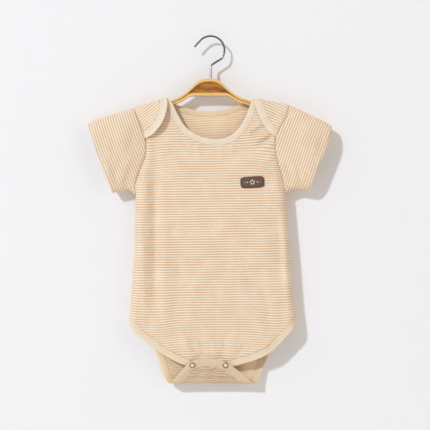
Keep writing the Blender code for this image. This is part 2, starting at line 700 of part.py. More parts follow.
def make_back(jersey, rib_cloth):
    edge = smooth_line(BACK_NECK)
    run = length_shares(edge)
    widths = -np.interp(run, (0.0, 0.16, 0.84, 1.0), (FLAP_RIB, BACK_NECK_RIB, BACK_NECK_RIB, FLAP_RIB))
    neck = neck_rib(BACK_NECK, widths, outer_top, FLAP_RIB)
    neck_at = neck_stations(neck, 12)
    top, shoulder_count = top_edge(neck, outer_top, neck_at)

    crotch = crotch_rib()
    lowest = int(np.argmin(crotch.panel[:, 1]))
    halves = ((LEFT, UNDERARM_LEFT, 0, lowest + 1), (RIGHT, UNDERARM_RIGHT, lowest, None))
    sides, tongue_sides, side_at, tongue_at = [], [], [], []
    for side, underarm, first, last in halves:
        corner = crotch.panel[0 if first == 0 else -1, 1]
        runs = list(np.linspace(0.0, CROTCH_RUN + CROTCH_RIB, 9))
        runs += list(np.linspace(runs[-1], corner - SIDE_TURN, LEG_ROWS))[1:]
        runs += [corner - fall for fall in turn_steps(SIDE_TURN, 3)[::-1]]
        at = crotch.where_panel_is(runs, 1, first, last)
        lower = [(x, height_at(run)) for x, run in crotch.points(crotch.panel, at)]
        middle = list(np.linspace(height_at(corner), underarm, SIDE_ROWS + 1))[1:-1]
        heights = armhole_heights(underarm, top_of_side(side, outer_top), SLEEVE_RISES)
        sides.append(lower + side_points(side, middle + heights))
        side_at.append(at)
        at = crotch.where_panel_is(np.linspace(0.0, TONGUE_CORNER, TONGUE_ROWS), 1, first, last)
        tongue_sides.append(crotch.points(crotch.panel, at))
        tongue_at.append(at)
    fold = [(x, FOLD_HEIGHT) for x in across_panel(sides[0][0][0], sides[1][0][0], len(top))]
    main = placed(patch(sides[0], sides[1], fold, top), back_place)

    low, high = tongue_sides[0][-1, 0], tongue_sides[1][-1, 0]
    end_at = crotch.where_panel_is(np.linspace(low, high, len(top)), 0)
    end = crotch.points(crotch.panel, end_at)
    fold_points = [(x, 0.0) for x, _ in fold]
    tongue = placed(patch(tongue_sides[0], tongue_sides[1], fold_points, end), crotch_place)

    rib_left = flap_rib(FLAP_EDGE_LEFT, LEFT, UNDERARM_LEFT, -FLAP_RIB, neck, 0)
    rib_right = flap_rib(FLAP_EDGE_RIGHT, RIGHT, UNDERARM_RIGHT, FLAP_RIB, neck, -1)
    left_shoulder = list(top[: shoulder_count + 1])
    right_shoulder = list(top[-shoulder_count - 1 :])[::-1]
    flap_left, left_at = make_flap(left_shoulder, LEFT, UNDERARM_LEFT, rib_left)
    flap_right, right_at = make_flap(right_shoulder, RIGHT, UNDERARM_RIGHT, rib_right)
    cloth("back_panel", [main, tongue, flap_left, flap_right], WALL, jersey)

    strips = [
        rib_left.strip(left_at[::-1], shoulder_flap_place)[:-1],
        neck.strip(neck_at, back_place),
        rib_right.strip(right_at, shoulder_flap_place)[1:],
    ]
    cloth("neck_binding_back", [np.concatenate(strips)], RIB_WALL, rib_cloth)
    stations = np.concatenate(
        [side_at[0][::-1], tongue_at[0][1:], end_at[1:-1], tongue_at[1][::-1], side_at[1][1:]]
    )
    cloth("leg_binding_back", [crotch.strip(stations, crotch_place, 5)], RIB_WALL, rib_cloth)


def make_sleeve(name, side, underarm, tables, folds, jersey):
    top_table, cuff_table, under_table = tables
    way = -1.0 if side is LEFT else 1.0
    heights = armhole_heights(underarm, top_of_side(side, outer_top), SLEEVE_RISES)[::-1]
    root = np.array(side_points(side, heights))
    root[:, 0] += [way * (SLEEVE_SEAM + WALL / 2 * side_seam_share(x, z)) for x, z in root]
    root[-1] = under_table[0]
    along = np.linspace(0.0, 1.0, SLEEVE_ROWS)
    over, under = smooth_line(top_table), smooth_line(under_table)
    over[0] = root[0]
    shares = length_shares(root)
    cuff = at_shares(smooth_line(cuff_table), shares)
    points = patch(at_shares(over, along), at_shares(under, along), root, cuff)
    length = np.linalg.norm(np.diff(cuff, axis=0), axis=1).sum()
    rings = []
    for row, share in zip(points, along):
        faces = []
        for face, fullest in ((FRONT, CUFF_FRONT), (BACK, CUFF_BACK)):
            line = []
            for (x, z), (root_x, root_z), down in zip(row, root, shares):
                seam = armhole_out(root_x, root_z, face) * turned((root[0, 1] - root_z) / SHOULDER_TURN)
                if face == FRONT:
                    lap = (root_z - underarm - FLAP_TIP_RISE) / FLAP_STEP + 0.5
                    seam += LAYER * turned((root[0, 1] - root_z) / SHOULDER_TURN) * min(max(lap, 0.0), 1.0)
                round_edge = turned(down * length / CUFF_TURN) * turned((1 - down) * length / CUFF_TURN)
                swell = math.sin(math.pi * share) * round_edge
                out = (1 - share) * seam + share * fullest * round_edge
                out += swell * (SLEEVE_SWELL + folds_out(x, z, folds))
                line.append((x, out if face == BACK else -out, z))
            line[0] = (line[0][0], 0.0, line[0][2])
            line[-1] = (line[-1][0], 0.0, line[-1][2])
            faces.append(line)
        rings.append(faces[0] + faces[1][-2:0:-1])
    cloth(name, [np.array(rings)], WALL, jersey, wraps=True)


# What is sewn or pressed on


def normal_to(place, x, z):
    """The way a cloth faces, towards the front."""
    step = 1.0
    along_x = np.array(place(x + step, z)) - np.array(place(x - step, z))
    along_z = np.array(place(x, z + step)) - np.array(place(x, z - step))
    normal = np.cross(along_x, along_z)
    normal /= np.linalg.norm(normal)
    return normal if normal[1] < 0 else -normal


def face_along(obj, place, normal):
    """Puts an object at a place in millimetres, with its own Z along the normal."""
    obj.location = [coordinate * MM for coordinate in place]
    obj.rotation_mode = "QUATERNION"
    obj.rotation_quaternion = Vector(normal).to_track_quat("Z", "Y")


def keep_active(name, material):
    obj = bpy.context.active_object
    obj.name = name
    obj.data.name = name
    obj.data.materials.append(material)
    obj.data.shade_smooth()
    for collection in list(obj.users_collection):
        collection.objects.unlink(obj)
    bpy.data.collections[COLLECTION].objects.link(obj)
    return obj


def make_snaps(metal):
    for side, (x, z) in zip(("left", "right"), SNAPS):
        outer = np.array(crotch_flap_place(x, z))
        inner = np.array(front_place(x, z))
        normal = normal_to(crotch_flap_place, x, z)
        for name, middle, way in (("front", outer, 1.0), ("inside", inner, -1.0)):
            bpy.ops.mesh.primitive_torus_add(
                major_radius=SNAP_RING_RADIUS * MM,
                minor_radius=SNAP_RING_WIRE * MM,
                major_segments=20,
                minor_segments=6,
            )
            ring = keep_active(f"snap_ring_{name}_{side}", metal)
            away = RIB_WALL / 2 + GAP + SNAP_RING_WIRE + SNAP_CLEAR
            face_along(ring, middle + normal * away * way, normal)
        apart = abs(outer[1] - inner[1]) - RIB_WALL - 2 * GAP - 2 * SNAP_CLEAR
        bpy.ops.mesh.primitive_cylinder_add(vertices=24, radius=SOCKET_RADIUS * MM, depth=apart * MM)
        socket = keep_active(f"snap_socket_{side}", metal)
        face_along(socket, (outer + inner) / 2, (0.0, -1.0, 0.0))
        rounded = socket.modifiers.new("Rounded rims", "BEVEL")
        rounded.width = SOCKET_BEVEL * MM
        rounded.segments = 2


def make_badge(material):
    """A patch whose points are the front panel's own, moved out."""
    cos_tilt, sin_tilt = math.cos(BADGE_TILT), math.sin(BADGE_TILT)
    away = WALL / 2 + GAP + BADGE_WALL / 2
    rings = []
    for share in BADGE_RINGS:
        ring = []
        for angle in np.linspace(0.0, 2 * math.pi, BADGE_SEGMENTS, endpoint=False):
            c, s = math.cos(angle), math.sin(angle)
            across = math.copysign(abs(c) ** BADGE_CORNER, c) * BADGE_HALF_WIDTH * share
            up = math.copysign(abs(s) ** BADGE_CORNER, s) * BADGE_HALF_HEIGHT * share
            x = BADGE_CENTRE[0] + across * cos_tilt - up * sin_tilt
            z = BADGE_CENTRE[1] + across * sin_tilt + up * cos_tilt
            ring.append(np.array(front_place(x, z)) + normal_to(front_place, x, z) * away)
        rings.append(ring)
    centre = np.mean(rings[0], axis=0)
    rings.insert(0, [centre] * BADGE_SEGMENTS)
    work = bmesh.new()
    hub = work.verts.new(centre * MM)
    loops = [[work.verts.new(point * MM) for point in ring] for ring in rings[1:]]
    for i in range(BADGE_SEGMENTS):
        after = (i + 1) % BADGE_SEGMENTS
        work.faces.new((hub, loops[0][i], loops[0][after]))
        for low, high in zip(loops, loops[1:]):
            work.faces.new((low[i], high[i], high[after], low[after]))
    bmesh.ops.recalc_face_normals(work, faces=work.faces)
    mesh = bpy.data.meshes.new("chest_badge")
    work.to_mesh(mesh)
    work.free()
    obj = new_object("chest_badge", mesh, material)
    solidify = obj.modifiers.new("Wall", "SOLIDIFY")
    solidify.thickness = BADGE_WALL * MM
    solidify.offset = 0.0


# The hanger


def hanger_section(row):
    """One section across the hanger: two rims with a web between them, an I lying in Y and Z."""
    x, top, bottom, rim, depth, web = row
    half = [
        (depth - RIM_ROUND, top),
        (depth, top - RIM_ROUND * (top - bottom) / HANGER_DEEP),
        (depth, top - rim),
        (web, top - rim - (depth - web) * WEB_SLOPE),
        (web, bottom + rim + (depth - web) * WEB_SLOPE),
        (depth, bottom + rim),
        (depth, bottom + RIM_ROUND * (top - bottom) / HANGER_DEEP),
        (depth - RIM_ROUND, bottom),
    ]
    return [(x, -y, z) for y, z in half] + [(x, y, z) for y, z in half[::-1]]


def make_hanger(golden):
    work = bmesh.new()
    sections = [[work.verts.new(np.array(p) * MM) for p in hanger_section(row)] for row in HANGER]
    for low, high in zip(sections, sections[1:]):
        for i in range(len(low)):
            after = (i + 1) % len(low)
            work.faces.new((low[i], low[after], high[after], high[i]))
    for ends in (sections[0], sections[-1]):
        work.faces.new(ends)
    bmesh.ops.recalc_face_normals(work, faces=work.faces)
    mesh = bpy.data.meshes.new("hanger_body")
    work.to_mesh(mesh)
    work.free()
    mesh.set_sharp_from_angle(angle=math.radians(35))
    body = new_object("hanger_body", mesh, golden)

    bore_top = HANGER_TOP + 4.0
    bpy.ops.mesh.primitive_cylinder_add(
        vertices=24,
        radius=(SHANK_RADIUS + GAP) * MM,
        depth=(bore_top - BORE_FLOOR) * MM,
        location=(STEM_X * MM, 0.0, (bore_top + BORE_FLOOR) / 2 * MM),
    )
    cutter = bpy.context.active_object
    cutter.name = "shank_bore"
    cutter.hide_render = True
    cutter.display_type = "WIRE"
    for collection in list(cutter.users_collection):
        collection.objects.unlink(cutter)
    bpy.data.collections[CUTTERS].objects.link(cutter)
    bore = body.modifiers.new("Bore for the shank", "BOOLEAN")
    bore.operation = "DIFFERENCE"
    bore.object = cutter


def hook_route():
    """The wire from its foot in the hanger to its tip, with the shank thicker than the rest."""
    route = [(STEM_X, z, SHANK_RADIUS) for z in (STEM_FOOT, -58.0, -50.0)]
    route.append((STEM_X, STEM_BEND - 1.0, WIRE_RADIUS))
    centre_z = WIRE_RADIUS - HOOK_RADIUS
    arc = [
        (HOOK_RADIUS * math.cos(a), centre_z + HOOK_RADIUS * math.sin(a))
        for a in np.linspace(HOOK_START, HOOK_END, 22)
    ]
    bend = smooth_line([(STEM_X, STEM_BEND), (3.0, -42.2), (11.5, -36.6), arc[0]], 4)
    route += [(x, z, WIRE_RADIUS) for x, z in bend[:-1]]
    route += [(x, z, WIRE_RADIUS) for x, z in arc]
    tip = smooth_line([arc[-2], arc[-1], (-21.0, -11.2), HOOK_TIP], 3)[3:]
    route += [(x, z, WIRE_RADIUS) for x, z in tip[1:]]
    return route


def make_hook(steel):
    curve = bpy.data.curves.new("hanger_hook", "CURVE")
    curve.dimensions = "3D"
    curve.bevel_depth = WIRE_RADIUS * MM
    curve.bevel_resolution = 3
    curve.use_fill_caps = True
    spline = curve.splines.new("POLY")
    route = hook_route()
    spline.points.add(len(route) - 1)
    for point, (x, z, radius) in zip(spline.points, route):
        point.co = (x * MM, 0.0, z * MM, 1.0)
        point.radius = radius / WIRE_RADIUS
    obj = bpy.data.objects.new("hanger_hook", curve)
    curve.materials.append(steel)
    bpy.data.collections[COLLECTION].objects.link(obj)


def main():
    clear_scene()
    for name in (COLLECTION, CUTTERS):
        collection = bpy.data.collections.new(name)
        bpy.context.scene.collection.children.link(collection)
    look = {name: make_material(name) for name in COLOURS}
    make_front(look["jersey"], look["rib"])
    make_back(look["jersey"], look["rib"])
    left = (SLEEVE_TOP_LEFT, SLEEVE_CUFF_LEFT, SLEEVE_UNDER_LEFT)
    right = (SLEEVE_TOP_RIGHT, SLEEVE_CUFF_RIGHT, SLEEVE_UNDER_RIGHT)
    make_sleeve("sleeve_left", LEFT, UNDERARM_LEFT, left, SLEEVE_FOLDS_LEFT, look["jersey"])
    make_sleeve("sleeve_right", RIGHT, UNDERARM_RIGHT, right, SLEEVE_FOLDS_RIGHT, look["jersey"])
    make_snaps(look["snap"])
    make_badge(look["badge"])
    make_hanger(look["hanger"])
    make_hook(look["hook"])


main()
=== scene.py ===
# %% [markdown]
# This lesson dresses a baby romper that hangs on a small hanger. The measured model, made for
# the simulator, gives each piece its place; every piece of cloth is then made again here as a
# thin shell with creases, seams and a real finish. All tables are in millimetres, because that
# is how a pattern cutter thinks, and meshes are in metres.

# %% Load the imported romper
import functools
import math

import bmesh
import bpy
import numpy as np
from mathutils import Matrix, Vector


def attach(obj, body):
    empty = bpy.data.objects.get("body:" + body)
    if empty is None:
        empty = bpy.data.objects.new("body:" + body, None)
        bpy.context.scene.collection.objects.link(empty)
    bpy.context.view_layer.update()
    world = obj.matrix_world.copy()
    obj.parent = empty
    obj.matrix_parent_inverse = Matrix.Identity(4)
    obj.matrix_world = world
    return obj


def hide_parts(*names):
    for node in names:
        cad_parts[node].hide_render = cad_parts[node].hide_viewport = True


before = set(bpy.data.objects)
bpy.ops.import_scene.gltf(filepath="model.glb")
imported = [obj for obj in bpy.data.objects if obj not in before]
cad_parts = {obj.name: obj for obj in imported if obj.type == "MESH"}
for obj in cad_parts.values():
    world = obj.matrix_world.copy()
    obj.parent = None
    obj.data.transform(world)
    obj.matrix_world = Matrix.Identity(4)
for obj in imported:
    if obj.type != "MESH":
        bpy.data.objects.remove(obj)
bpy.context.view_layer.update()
MM = 0.001
TURN = 2 * math.pi
print("nodes:", ", ".join(sorted(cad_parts)))

# %% [markdown]
# The photograph was taken square from the front with a moderate telephoto lens: both cuffs and
# both side seams look alike, and nothing is seen from above. The camera therefore looks level
# along +Y. Its distance and lens are chosen so that one pixel of 430 is 1.54 mm at the cloth.

# %% Camera
FRAME_WIDTH = 430 * 1.54 * MM
CAMERA_DISTANCE = 1.58
SENSOR = 36


def add_object(name, data, place=(0, 0, 0)):
    obj = bpy.data.objects.new(name, data)
    obj.location = place
    bpy.context.scene.collection.objects.link(obj)
    return obj


lens = bpy.data.cameras.new("camera")
lens.sensor_width = SENSOR
lens.lens = SENSOR * CAMERA_DISTANCE / FRAME_WIDTH
lens.clip_start = 0.05
camera = add_object("camera", lens, (6.9 * MM, -CAMERA_DISTANCE, -274 * MM))
camera.rotation_euler = (math.radians(90), 0, 0)
bpy.context.scene.camera = camera
print(f"lens {lens.lens:.1f} mm")

# %% [markdown]
# Colours are written as the sRGB hex values a picture editor shows. Blender's shaders work in
# linear light, so one function turns them over. Another adds a node with its settings, and
# links or fills each input it is given. It returns an output, so each material reads as a recipe.

# %% Colour and node helpers


def srgb(code):
    """A hex colour as linear red, green and blue, and alpha."""
    shares = [int(code[i : i + 2], 16) / 255 for i in (0, 2, 4)]
    curved = (s / 12.92 if s <= 0.04045 else ((s + 0.055) / 1.055) ** 2.4 for s in shares)
    return (*curved, 1.0)


def fill(node, inputs):
    """Each input takes a socket to link, or holds a number, a tuple or a hex colour."""
    for name, value in inputs.items():
        if isinstance(value, bpy.types.NodeSocket):
            node.id_data.links.new(value, node.inputs[name])
        else:
            node.inputs[name].default_value = srgb(value) if isinstance(value, str) else value


def add_node(tree, kind, inputs, out=0, **settings):
    node = tree.nodes.new("ShaderNode" + kind)
    for name, value in settings.items():
        setattr(node, name, value)
    fill(node, inputs if isinstance(inputs, dict) else dict(enumerate(inputs)))
    return node.outputs[out]


def new_material(name):
    """A material, its Principled shader, and add_node for its own tree."""
    material = bpy.data.materials.new(name)
    material.use_nodes = True
    tree = material.node_tree
    return material, tree.nodes["Principled BSDF"], functools.partial(add_node, tree)


print("ivory in linear light:", [round(c, 3) for c in srgb("F4E7D3")[:3]])

# %% [markdown]
# The romper hangs close in front of a plain pale wall, and its soft shadows fall to the right
# and down, so the main light is a large soft box high on the left. The wall is one-sided: its
# back is see-through, so the garment's back can be looked at too. The floor lies below.

# %% Stage and lights
WALL_Y = 17 * MM  # behind the hook; the wall leans back a little below it
WALL_LEAN = 0.012
FLOOR_Z = -1.3
REACH = 3  # how far the stage goes to each side
WALL_HEIGHT = 2


def stage_plane(name, corners, paint, code, one_sided=False):
    material, shader, add = new_material(paint)
    fill(shader, {"Base Color": code, "Roughness": 0.9, "Specular IOR Level": 0.1})
    if one_sided:
        back = add("NewGeometry", {}, "Backfacing")
        mixed = add("MixShader", [back, shader.outputs[0], add("BsdfTransparent", {})])
        fill(material.node_tree.nodes["Material Output"], {"Surface": mixed})
    mesh = bpy.data.meshes.new(name)
    mesh.from_pydata(corners, [], [(0, 1, 2, 3)])
    mesh.materials.append(material)
    plane = add_object(name, mesh)
    return plane


low, high = ((WALL_Y - WALL_LEAN * z, z) for z in (FLOOR_Z, WALL_HEIGHT))
corners = [(-REACH, *low), (REACH, *low), (REACH, *high), (-REACH, *high)]
wall = stage_plane("wall", corners, "matt painted wall", "F0F0F0", one_sided=True)
wall.visible_shadow = False  # the back light reaches the garment through it
corners = [(x * REACH, y * REACH, FLOOR_Z) for x, y in ((-1, -1), (1, -1), (1, 1), (-1, 1))]
stage_plane("floor", corners, "matt pale floor", "EDEDEC")

aim = Vector((0, 0, -0.3))
for name, place, size, watts, code in (
    ("key_light", (-3.6, -5.28, 2.98), 0.45, 290, "EBF4FF"),
    ("fill_light", (2.5, -2.5, 0.3), 1.9, 9, "FFEAD6"),
    ("back_light", (0.4, 2.2, 0.6), 1.6, 15, "FFFFFF"),
):
    light = bpy.data.lights.new(name, "AREA")
    light.shape, light.size, light.energy, light.color = "SQUARE", size, watts, srgb(code)[:3]
    lamp = add_object(name, light, place)
    lamp.rotation_euler = (aim - Vector(place)).to_track_quat("-Z", "Y").to_euler()
world = bpy.data.worlds.new("studio")
world.use_nodes = True
fill(world.node_tree.nodes["Background"], {"Color": "FFF6F0", "Strength": 0.53})
bpy.context.scene.world = world
bpy.context.scene.view_settings.view_transform = "Standard"  # colours as in a plain photo
print("wall", WALL_Y, "floor", FLOOR_Z)

# %% [markdown]
# Every panel of a romper is cut flat. Seen from the front, its outline is a few smooth lines,
# given here as points to pass through: X runs to the right, Z up from the inside of the hook,
# and left and right are the viewer's. The garment hangs a little unevenly, so neither side is
# a mirror image of the other.

# %% Outlines of the panels
SIDE_LEFT = ((-125, -443), (-120.5, -389), (-116.5, -316.5), (-114.5, -243.5))
SIDE_RIGHT = ((131.5, -444), (125.5, -389), (120, -316.5), (114.5, -242))
ARMHOLE_LEFT = (
    (-114.5, -243.5), (-116, -229), (-112.5, -216), (-107, -201), (-101.5, -187.5), (-99, -173.5),
    (-100, -157), (-104.5, -143), (-111, -128), (-118.5, -109),
)
ARMHOLE_RIGHT = (
    (114.5, -242), (113, -231), (111, -217.5), (107, -203.5), (102, -187), (100, -173.5),
    (100.5, -156.5), (105, -144.5), (112.5, -131), (118.5, -117), (120.5, -104.5),
)
SHOULDER = (  # across the neck it only says how soon the bindings have turned down
    (-118.5, -109), (-108, -105.2), (-98, -102.3), (-88, -99.5), (-79, -96.4), (-72.5, -93.8),
    (-67, -92.5), (-62, -92.2), (-54, -87), (54, -87), (61, -92.8), (66, -93.4), (73, -94.6),
    (80, -96), (101.5, -100), (112, -102.2), (120.5, -104.5),
)
FRONT_NECK = (
    (-63.6, -95.9), (-57.8, -104), (-49.5, -121), (-40, -136.5), (-27.5, -147.5), (-12.5, -154.5),
    (2.5, -157.2), (19, -156.5), (33, -151), (46.5, -136.5), (55, -121), (59.6, -108.5),
    (63.4, -96.9),
)
BACK_NECK = (
    (-67, -93.4), (-60, -99.3), (-50, -104), (-40.5, -107.5), (-30, -110.5), (-18, -113),
    (-4, -113.7), (12.5, -113), (31.5, -108), (45.5, -103.5), (59, -98.9), (66, -94.4),
)
FLAP_EDGE_LEFT = (
    (-67, -93.4), (-65.5, -102), (-66.5, -113), (-70, -126), (-77, -139), (-87, -150),
    (-99, -157),
)
FLAP_EDGE_RIGHT = (
    (66, -94.4), (67, -102), (70.5, -112.5), (77, -128), (84.5, -141), (92.5, -149.5),
    (100, -155.5),
)
FRONT_HEM = (
    (-125, -443), (-108.5, -460), (-90, -474), (-79.5, -482.5), (-63, -493), (-48.5, -500.5),
    (-37.5, -505), (-24, -509), (-1, -512), (21, -510), (33.5, -506.5), (51.5, -501.5),
    (69.5, -495.5), (89.5, -486), (102.5, -475), (115, -461.5), (131.5, -444),
)
BACK_LEG_LEFT = (
    (-125, -443), (-104, -461), (-88, -479), (-79, -500.5), (-73.5, -518.5), (-70, -527),
    (-64.5, -532.6),
)
BACK_LEG_RIGHT = (
    (131.5, -444), (112, -463.5), (95, -484), (86, -500), (80, -515), (76, -526.5),
    (69.5, -532.6),
)
CROTCH_SIDE_LEFT = ((-64.5, -532.6), (-54.5, -524.5), (-45.5, -513.5), (-37.5, -504))
CROTCH_SIDE_RIGHT = ((69.5, -532.6), (58, -524.4), (45.5, -514), (33.5, -505))
CROTCH_END = (
    (-37.5, -504), (-30.5, -498.5), (-19.5, -494), (-5, -492), (9.5, -494), (24, -498.5),
    (33.5, -505),
)
FOLD_HEIGHT = -532.6  # the middle of the cloth at the bottom fold
SLEEVE_TOP_LEFT = ((-118.5, -109.6), (-146, -118.2), (-173.5, -127.2), (-188, -133.5))
SLEEVE_TOP_RIGHT = ((120.5, -105.1), (138, -112.5), (158, -122), (177, -131.2), (186, -137.5))
SLEEVE_CUFF_LEFT = (
    (-188, -133.5), (-180.8, -154), (-172.5, -180.5), (-164, -206), (-150, -239.5),
)
SLEEVE_CUFF_RIGHT = (
    (186, -137.5), (179.5, -162.5), (170.5, -186), (160.5, -209.5), (149.5, -236.5),
)
SLEEVE_UNDER_LEFT = (
    (-115.9, -242.3), (-121.5, -237.5), (-128, -234.5), (-138, -236.5), (-150, -239.5),
)
SLEEVE_UNDER_RIGHT = (
    (115.9, -240.8), (122, -236.5), (129, -233.8), (139, -234.8), (149.5, -236.5),
)
print(f"crotch fold at {FOLD_HEIGHT} mm")

# %% [markdown]
# A second set of tables says how far the cloth stands out from the middle of the garment. The
# front is fullest at the belly. Soft folds are lines with a half width and a height, positive
# for a ridge and negative for a trough, so each can be set by hand as long, as deep and as far
# from its neighbours as on the real cloth.

# %% Fullness and main folds
WALL = 1.2  # jersey
RIB_WALL = 1.8  # binding
SEAM = 0.45  # a seam's gap in the outline
LAYER = 2.5  # from one cloth's middle to the flap that lies on it
SNAP_LAYER = 4.8  # the same at the crotch, where the snaps hold two cloths apart
SIDE_TURN = 12  # how far in from a side seam the cloth has turned flat
SHOULDER_TURN = 8
UNDERARM_TURN = 18
CROTCH_TURN = 6
CROTCH_RUN = 11  # length of cloth in either half of that turn
NECK_RIB = 9
FLAP_RIB = 11
BACK_NECK_RIB = 7.5
LEG_RIB = 10
CROTCH_RIB = 12
OUTER_DROP = 0.9  # from the top of the shoulder to the outer cloth's middle
INNER_DROP = 3.8  # and to the front panel's under it
FULLNESS = (
    (-90, 7.5, 7), (-130, 8.5, 7), (-200, 12.5, 8), (-320, 16, 9), (-420, 14, 9), (-470, 11.5, 8),
    (-500, 10, 7), (-535, 5.5, 6.5),
)
# How far the armhole seam stands out from the middle, by height above the underarm
ARMHOLE = (
    (0, 0.5, 0.5), (2.5, 2.6, 2.2), (8, 5, 4.2), (20, 7.6, 6.2), (45, 9, 7), (90, 9, 7),
    (115, 8.2, 7), (140, 7.5, 7),
)
# Soft folds: a line from (x0, z0) to (x1, z1), its half width and how far it stands out
FRONT_FOLDS = (
    (-85, -152, -82, -442, 8, -5.5), (-106, -200, -105, -420, 8, 2),
    (-66, -300, -70, -460, 15, 1.6), (98, -262, 106, -400, 12, -2.6),
    (64, -153, 94, -139, 4.5, -2.4), (70, -170, 99, -154, 4.5, -2.4),
    (80, -196, 104, -214, 6, -1.4), (-101, -178, -93, -216, 6, -1.2),
    (-30, -496, -48, -440, 7, 1.5), (-8, -496, -14, -446, 6, -1.2), (26, -496, 42, -442, 7, 1.5),
    (20, -210, 34, -330, 18, 1.3), (66, -420, 92, -506, 15, 2.6),
)
BACK_FOLDS = (
    (-70, -150, -92, -330, 12, 2.4), (-38, -170, -46, -400, 16, -1.8),
    (8, -150, 2, -430, 18, 1.8), (60, -160, 84, -380, 13, 2.2), (34, -260, 44, -460, 14, -1.7),
    (-60, -430, -30, -500, 9, 1.4), (66, -430, 34, -500, 9, 1.4), (88, -430, 72, -532, 14, 3.6),
)
CROTCH_FOLDS = (
    (-22, -503.5, -9, -505.5, 3, -1), (8, -506, 18, -504, 3, -0.8), (-44, -521, 2, -515, 3, 0.6),
    (4, -517, 50, -523, 3, 0.6),
)
SLEEVE_FOLDS_LEFT = ((-128, -232, -122, -196, 6, -2), (-140, -130, -136, -190, 10, 1.5))
SLEEVE_FOLDS_RIGHT = ((126, -230, 116, -190, 6, -2.2), (150, -128, 142, -196, 10, 1.5))
FLAP_LIFT_LEFT = 10  # how far the free edge of each shoulder flap stands off the front
FLAP_LIFT_RIGHT = 1.4
CUFF_FRONT = 14.5
CUFF_BACK = 10
print(len(FRONT_FOLDS), "main folds in front,", len(BACK_FOLDS), "behind")

# %% [markdown]
# Between those main folds, worn cotton has many small ones: short pulls that fan out from the
# armholes, puckers along the bindings, and slanting drags above the snaps. They are too fine
# for the measured solids, so they are placed here, with similar ones where nobody looks.

# %% Small wrinkles
FRONT_WRINKLES = (
    (-88, -235, -86, -440, 8, -1.5), (62, -149, 88, -136, 3.2, -3.2),
    (60, -162, 96, -146, 3, 1.8), (74, -166, 100, -151, 3.4, -3.6), (70, -180, 101, -164, 3, 1.2),
    (80, -194, 104, -180, 3.2, 0.9), (84, -202, 106, -190, 3.2, -0.9),
    (60, -146, 80, -133, 2.4, 0.9), (74, -222, 110, -246, 4.2, -1.2),
    (84, -244, 114, -276, 4.5, 1.1), (-62, -166, -97, -158, 2.8, 0.9),
    (-66, -177, -99, -168, 2.8, -1.1), (-70, -190, -100, -186, 3.4, 0.8),
    (-78, -212, -106, -232, 4, 1.1), (-84, -238, -112, -262, 4, -1.1),
    (-46, -146, -37, -172, 3.2, -0.8), (-20, -160, -16, -190, 4, 0.7),
    (8, -164, 10, -196, 4, -0.6), (36, -158, 32, -190, 3.4, 0.8), (-101, -168, -98, -300, 5, 1.4),
    (-74, -262, -72, -452, 6, 1.2), (-78, -352, -86, -452, 5, 1.2),
    (-102, -300, -100, -446, 5, 1.4), (-114, -280, -116, -432, 3.2, 1.6),
    (-54, -250, -60, -380, 8, -0.9), (-44, -318, -58, -450, 7, -1.2),
    (-20, -360, -38, -470, 7, 1), (10, -380, 8, -478, 7, -0.9), (44, -340, 58, -456, 8, 1.2),
    (76, -350, 92, -452, 6, -1.3), (112, -290, 120, -430, 4, 1.5),
    (103, -270, 110, -390, 4, -1.3), (-29, -493.5, -5, -487.5, 2, -1.6),
    (-5, -487.5, 23, -493.5, 2, -1.6), (-36, -500, -66, -460, 3.6, -1.3),
    (-24, -497, -40, -460, 3.2, 1.2), (-12, -494, -16, -462, 3, -0.9), (4, -494, 6, -464, 3.4, 1),
    (16, -496, 24, -456, 3.6, -1.2), (34, -500, 62, -460, 3.6, -1.3),
    (-74, -478, -92, -450, 3.4, 0.9), (78, -482, 98, -450, 3.4, 0.9),
    (-96, -290, -62, -300, 6, 0.8), (-100, -322, -70, -336, 5, -0.8),
    (30, -260, 84, -252, 7, 0.6), (70, -300, 112, -318, 6, 0.7), (-60, -230, -10, -240, 7, 0.6),
)
BACK_WRINKLES = (
    (88, -462, 62, -526, 14, 4), (-86, -462, -62, -528, 15, -5), (-98, -170, -60, -190, 4, 1),
    (-100, -192, -64, -214, 4, -0.9), (-104, -216, -72, -240, 4.5, 0.8),
    (99, -168, 62, -186, 4, 1), (101, -190, 66, -212, 4.2, -1), (108, -214, 76, -240, 4.5, 0.8),
    (-84, -300, -96, -430, 6, -1.2), (-104, -310, -108, -440, 4, 1),
    (-20, -280, -24, -470, 9, 0.9), (24, -180, 20, -330, 8, -0.9), (88, -280, 100, -430, 6, -1.2),
    (108, -300, 116, -430, 4, 1), (-48, -440, -22, -522, 5, -1), (-10, -440, -4, -524, 6, 0.9),
    (20, -446, 14, -520, 5, -0.8), (52, -440, 30, -522, 5, -1), (-26, -116, -30, -160, 5, 0.6),
    (30, -114, 34, -160, 5, 0.6),
)
CROTCH_WRINKLES = (
    (-44, -524, 40, -525, 2.2, -1.1), (-42, -518.5, 36, -520, 2.2, 1.2),
    (-34, -513, 34, -514, 2.2, -1.2), (-30, -507.5, 26, -508, 2, 1),
    (-90, -528, 90, -528, 13, -4.2), (-60, -503, 60, -503, 6, 1),
    (-52, -524, -26, -506, 1.8, 0.8), (-44, -525, -22, -507, 1.7, -0.8),
    (-34, -526, -16, -509, 1.8, 0.8), (-24, -527, -10, -510, 1.8, -0.7),
    (-13, -527, -2, -508, 2, 0.7), (1, -527, 3, -508, 2, -0.6), (14, -526, 9, -508, 2, 0.7),
    (27, -526, 16, -509, 1.8, -0.7), (38, -526, 22, -509, 1.8, 0.7),
    (52, -523, 28, -508, 2, -0.7), (-16, -500, 8, -501, 1.6, -0.9), (-40, -517, 40, -519, 2, 0.5),
)
FLAP_WRINKLES = (
    (104, -112, 78, -150, 5, -1.4), (-112, -118, -84, -132, 3.5, 0.6),
    (-104, -134, -80, -142, 3, -0.5), (112, -114, 84, -124, 3.5, 0.5),
    (106, -130, 86, -138, 3, -0.5),
)
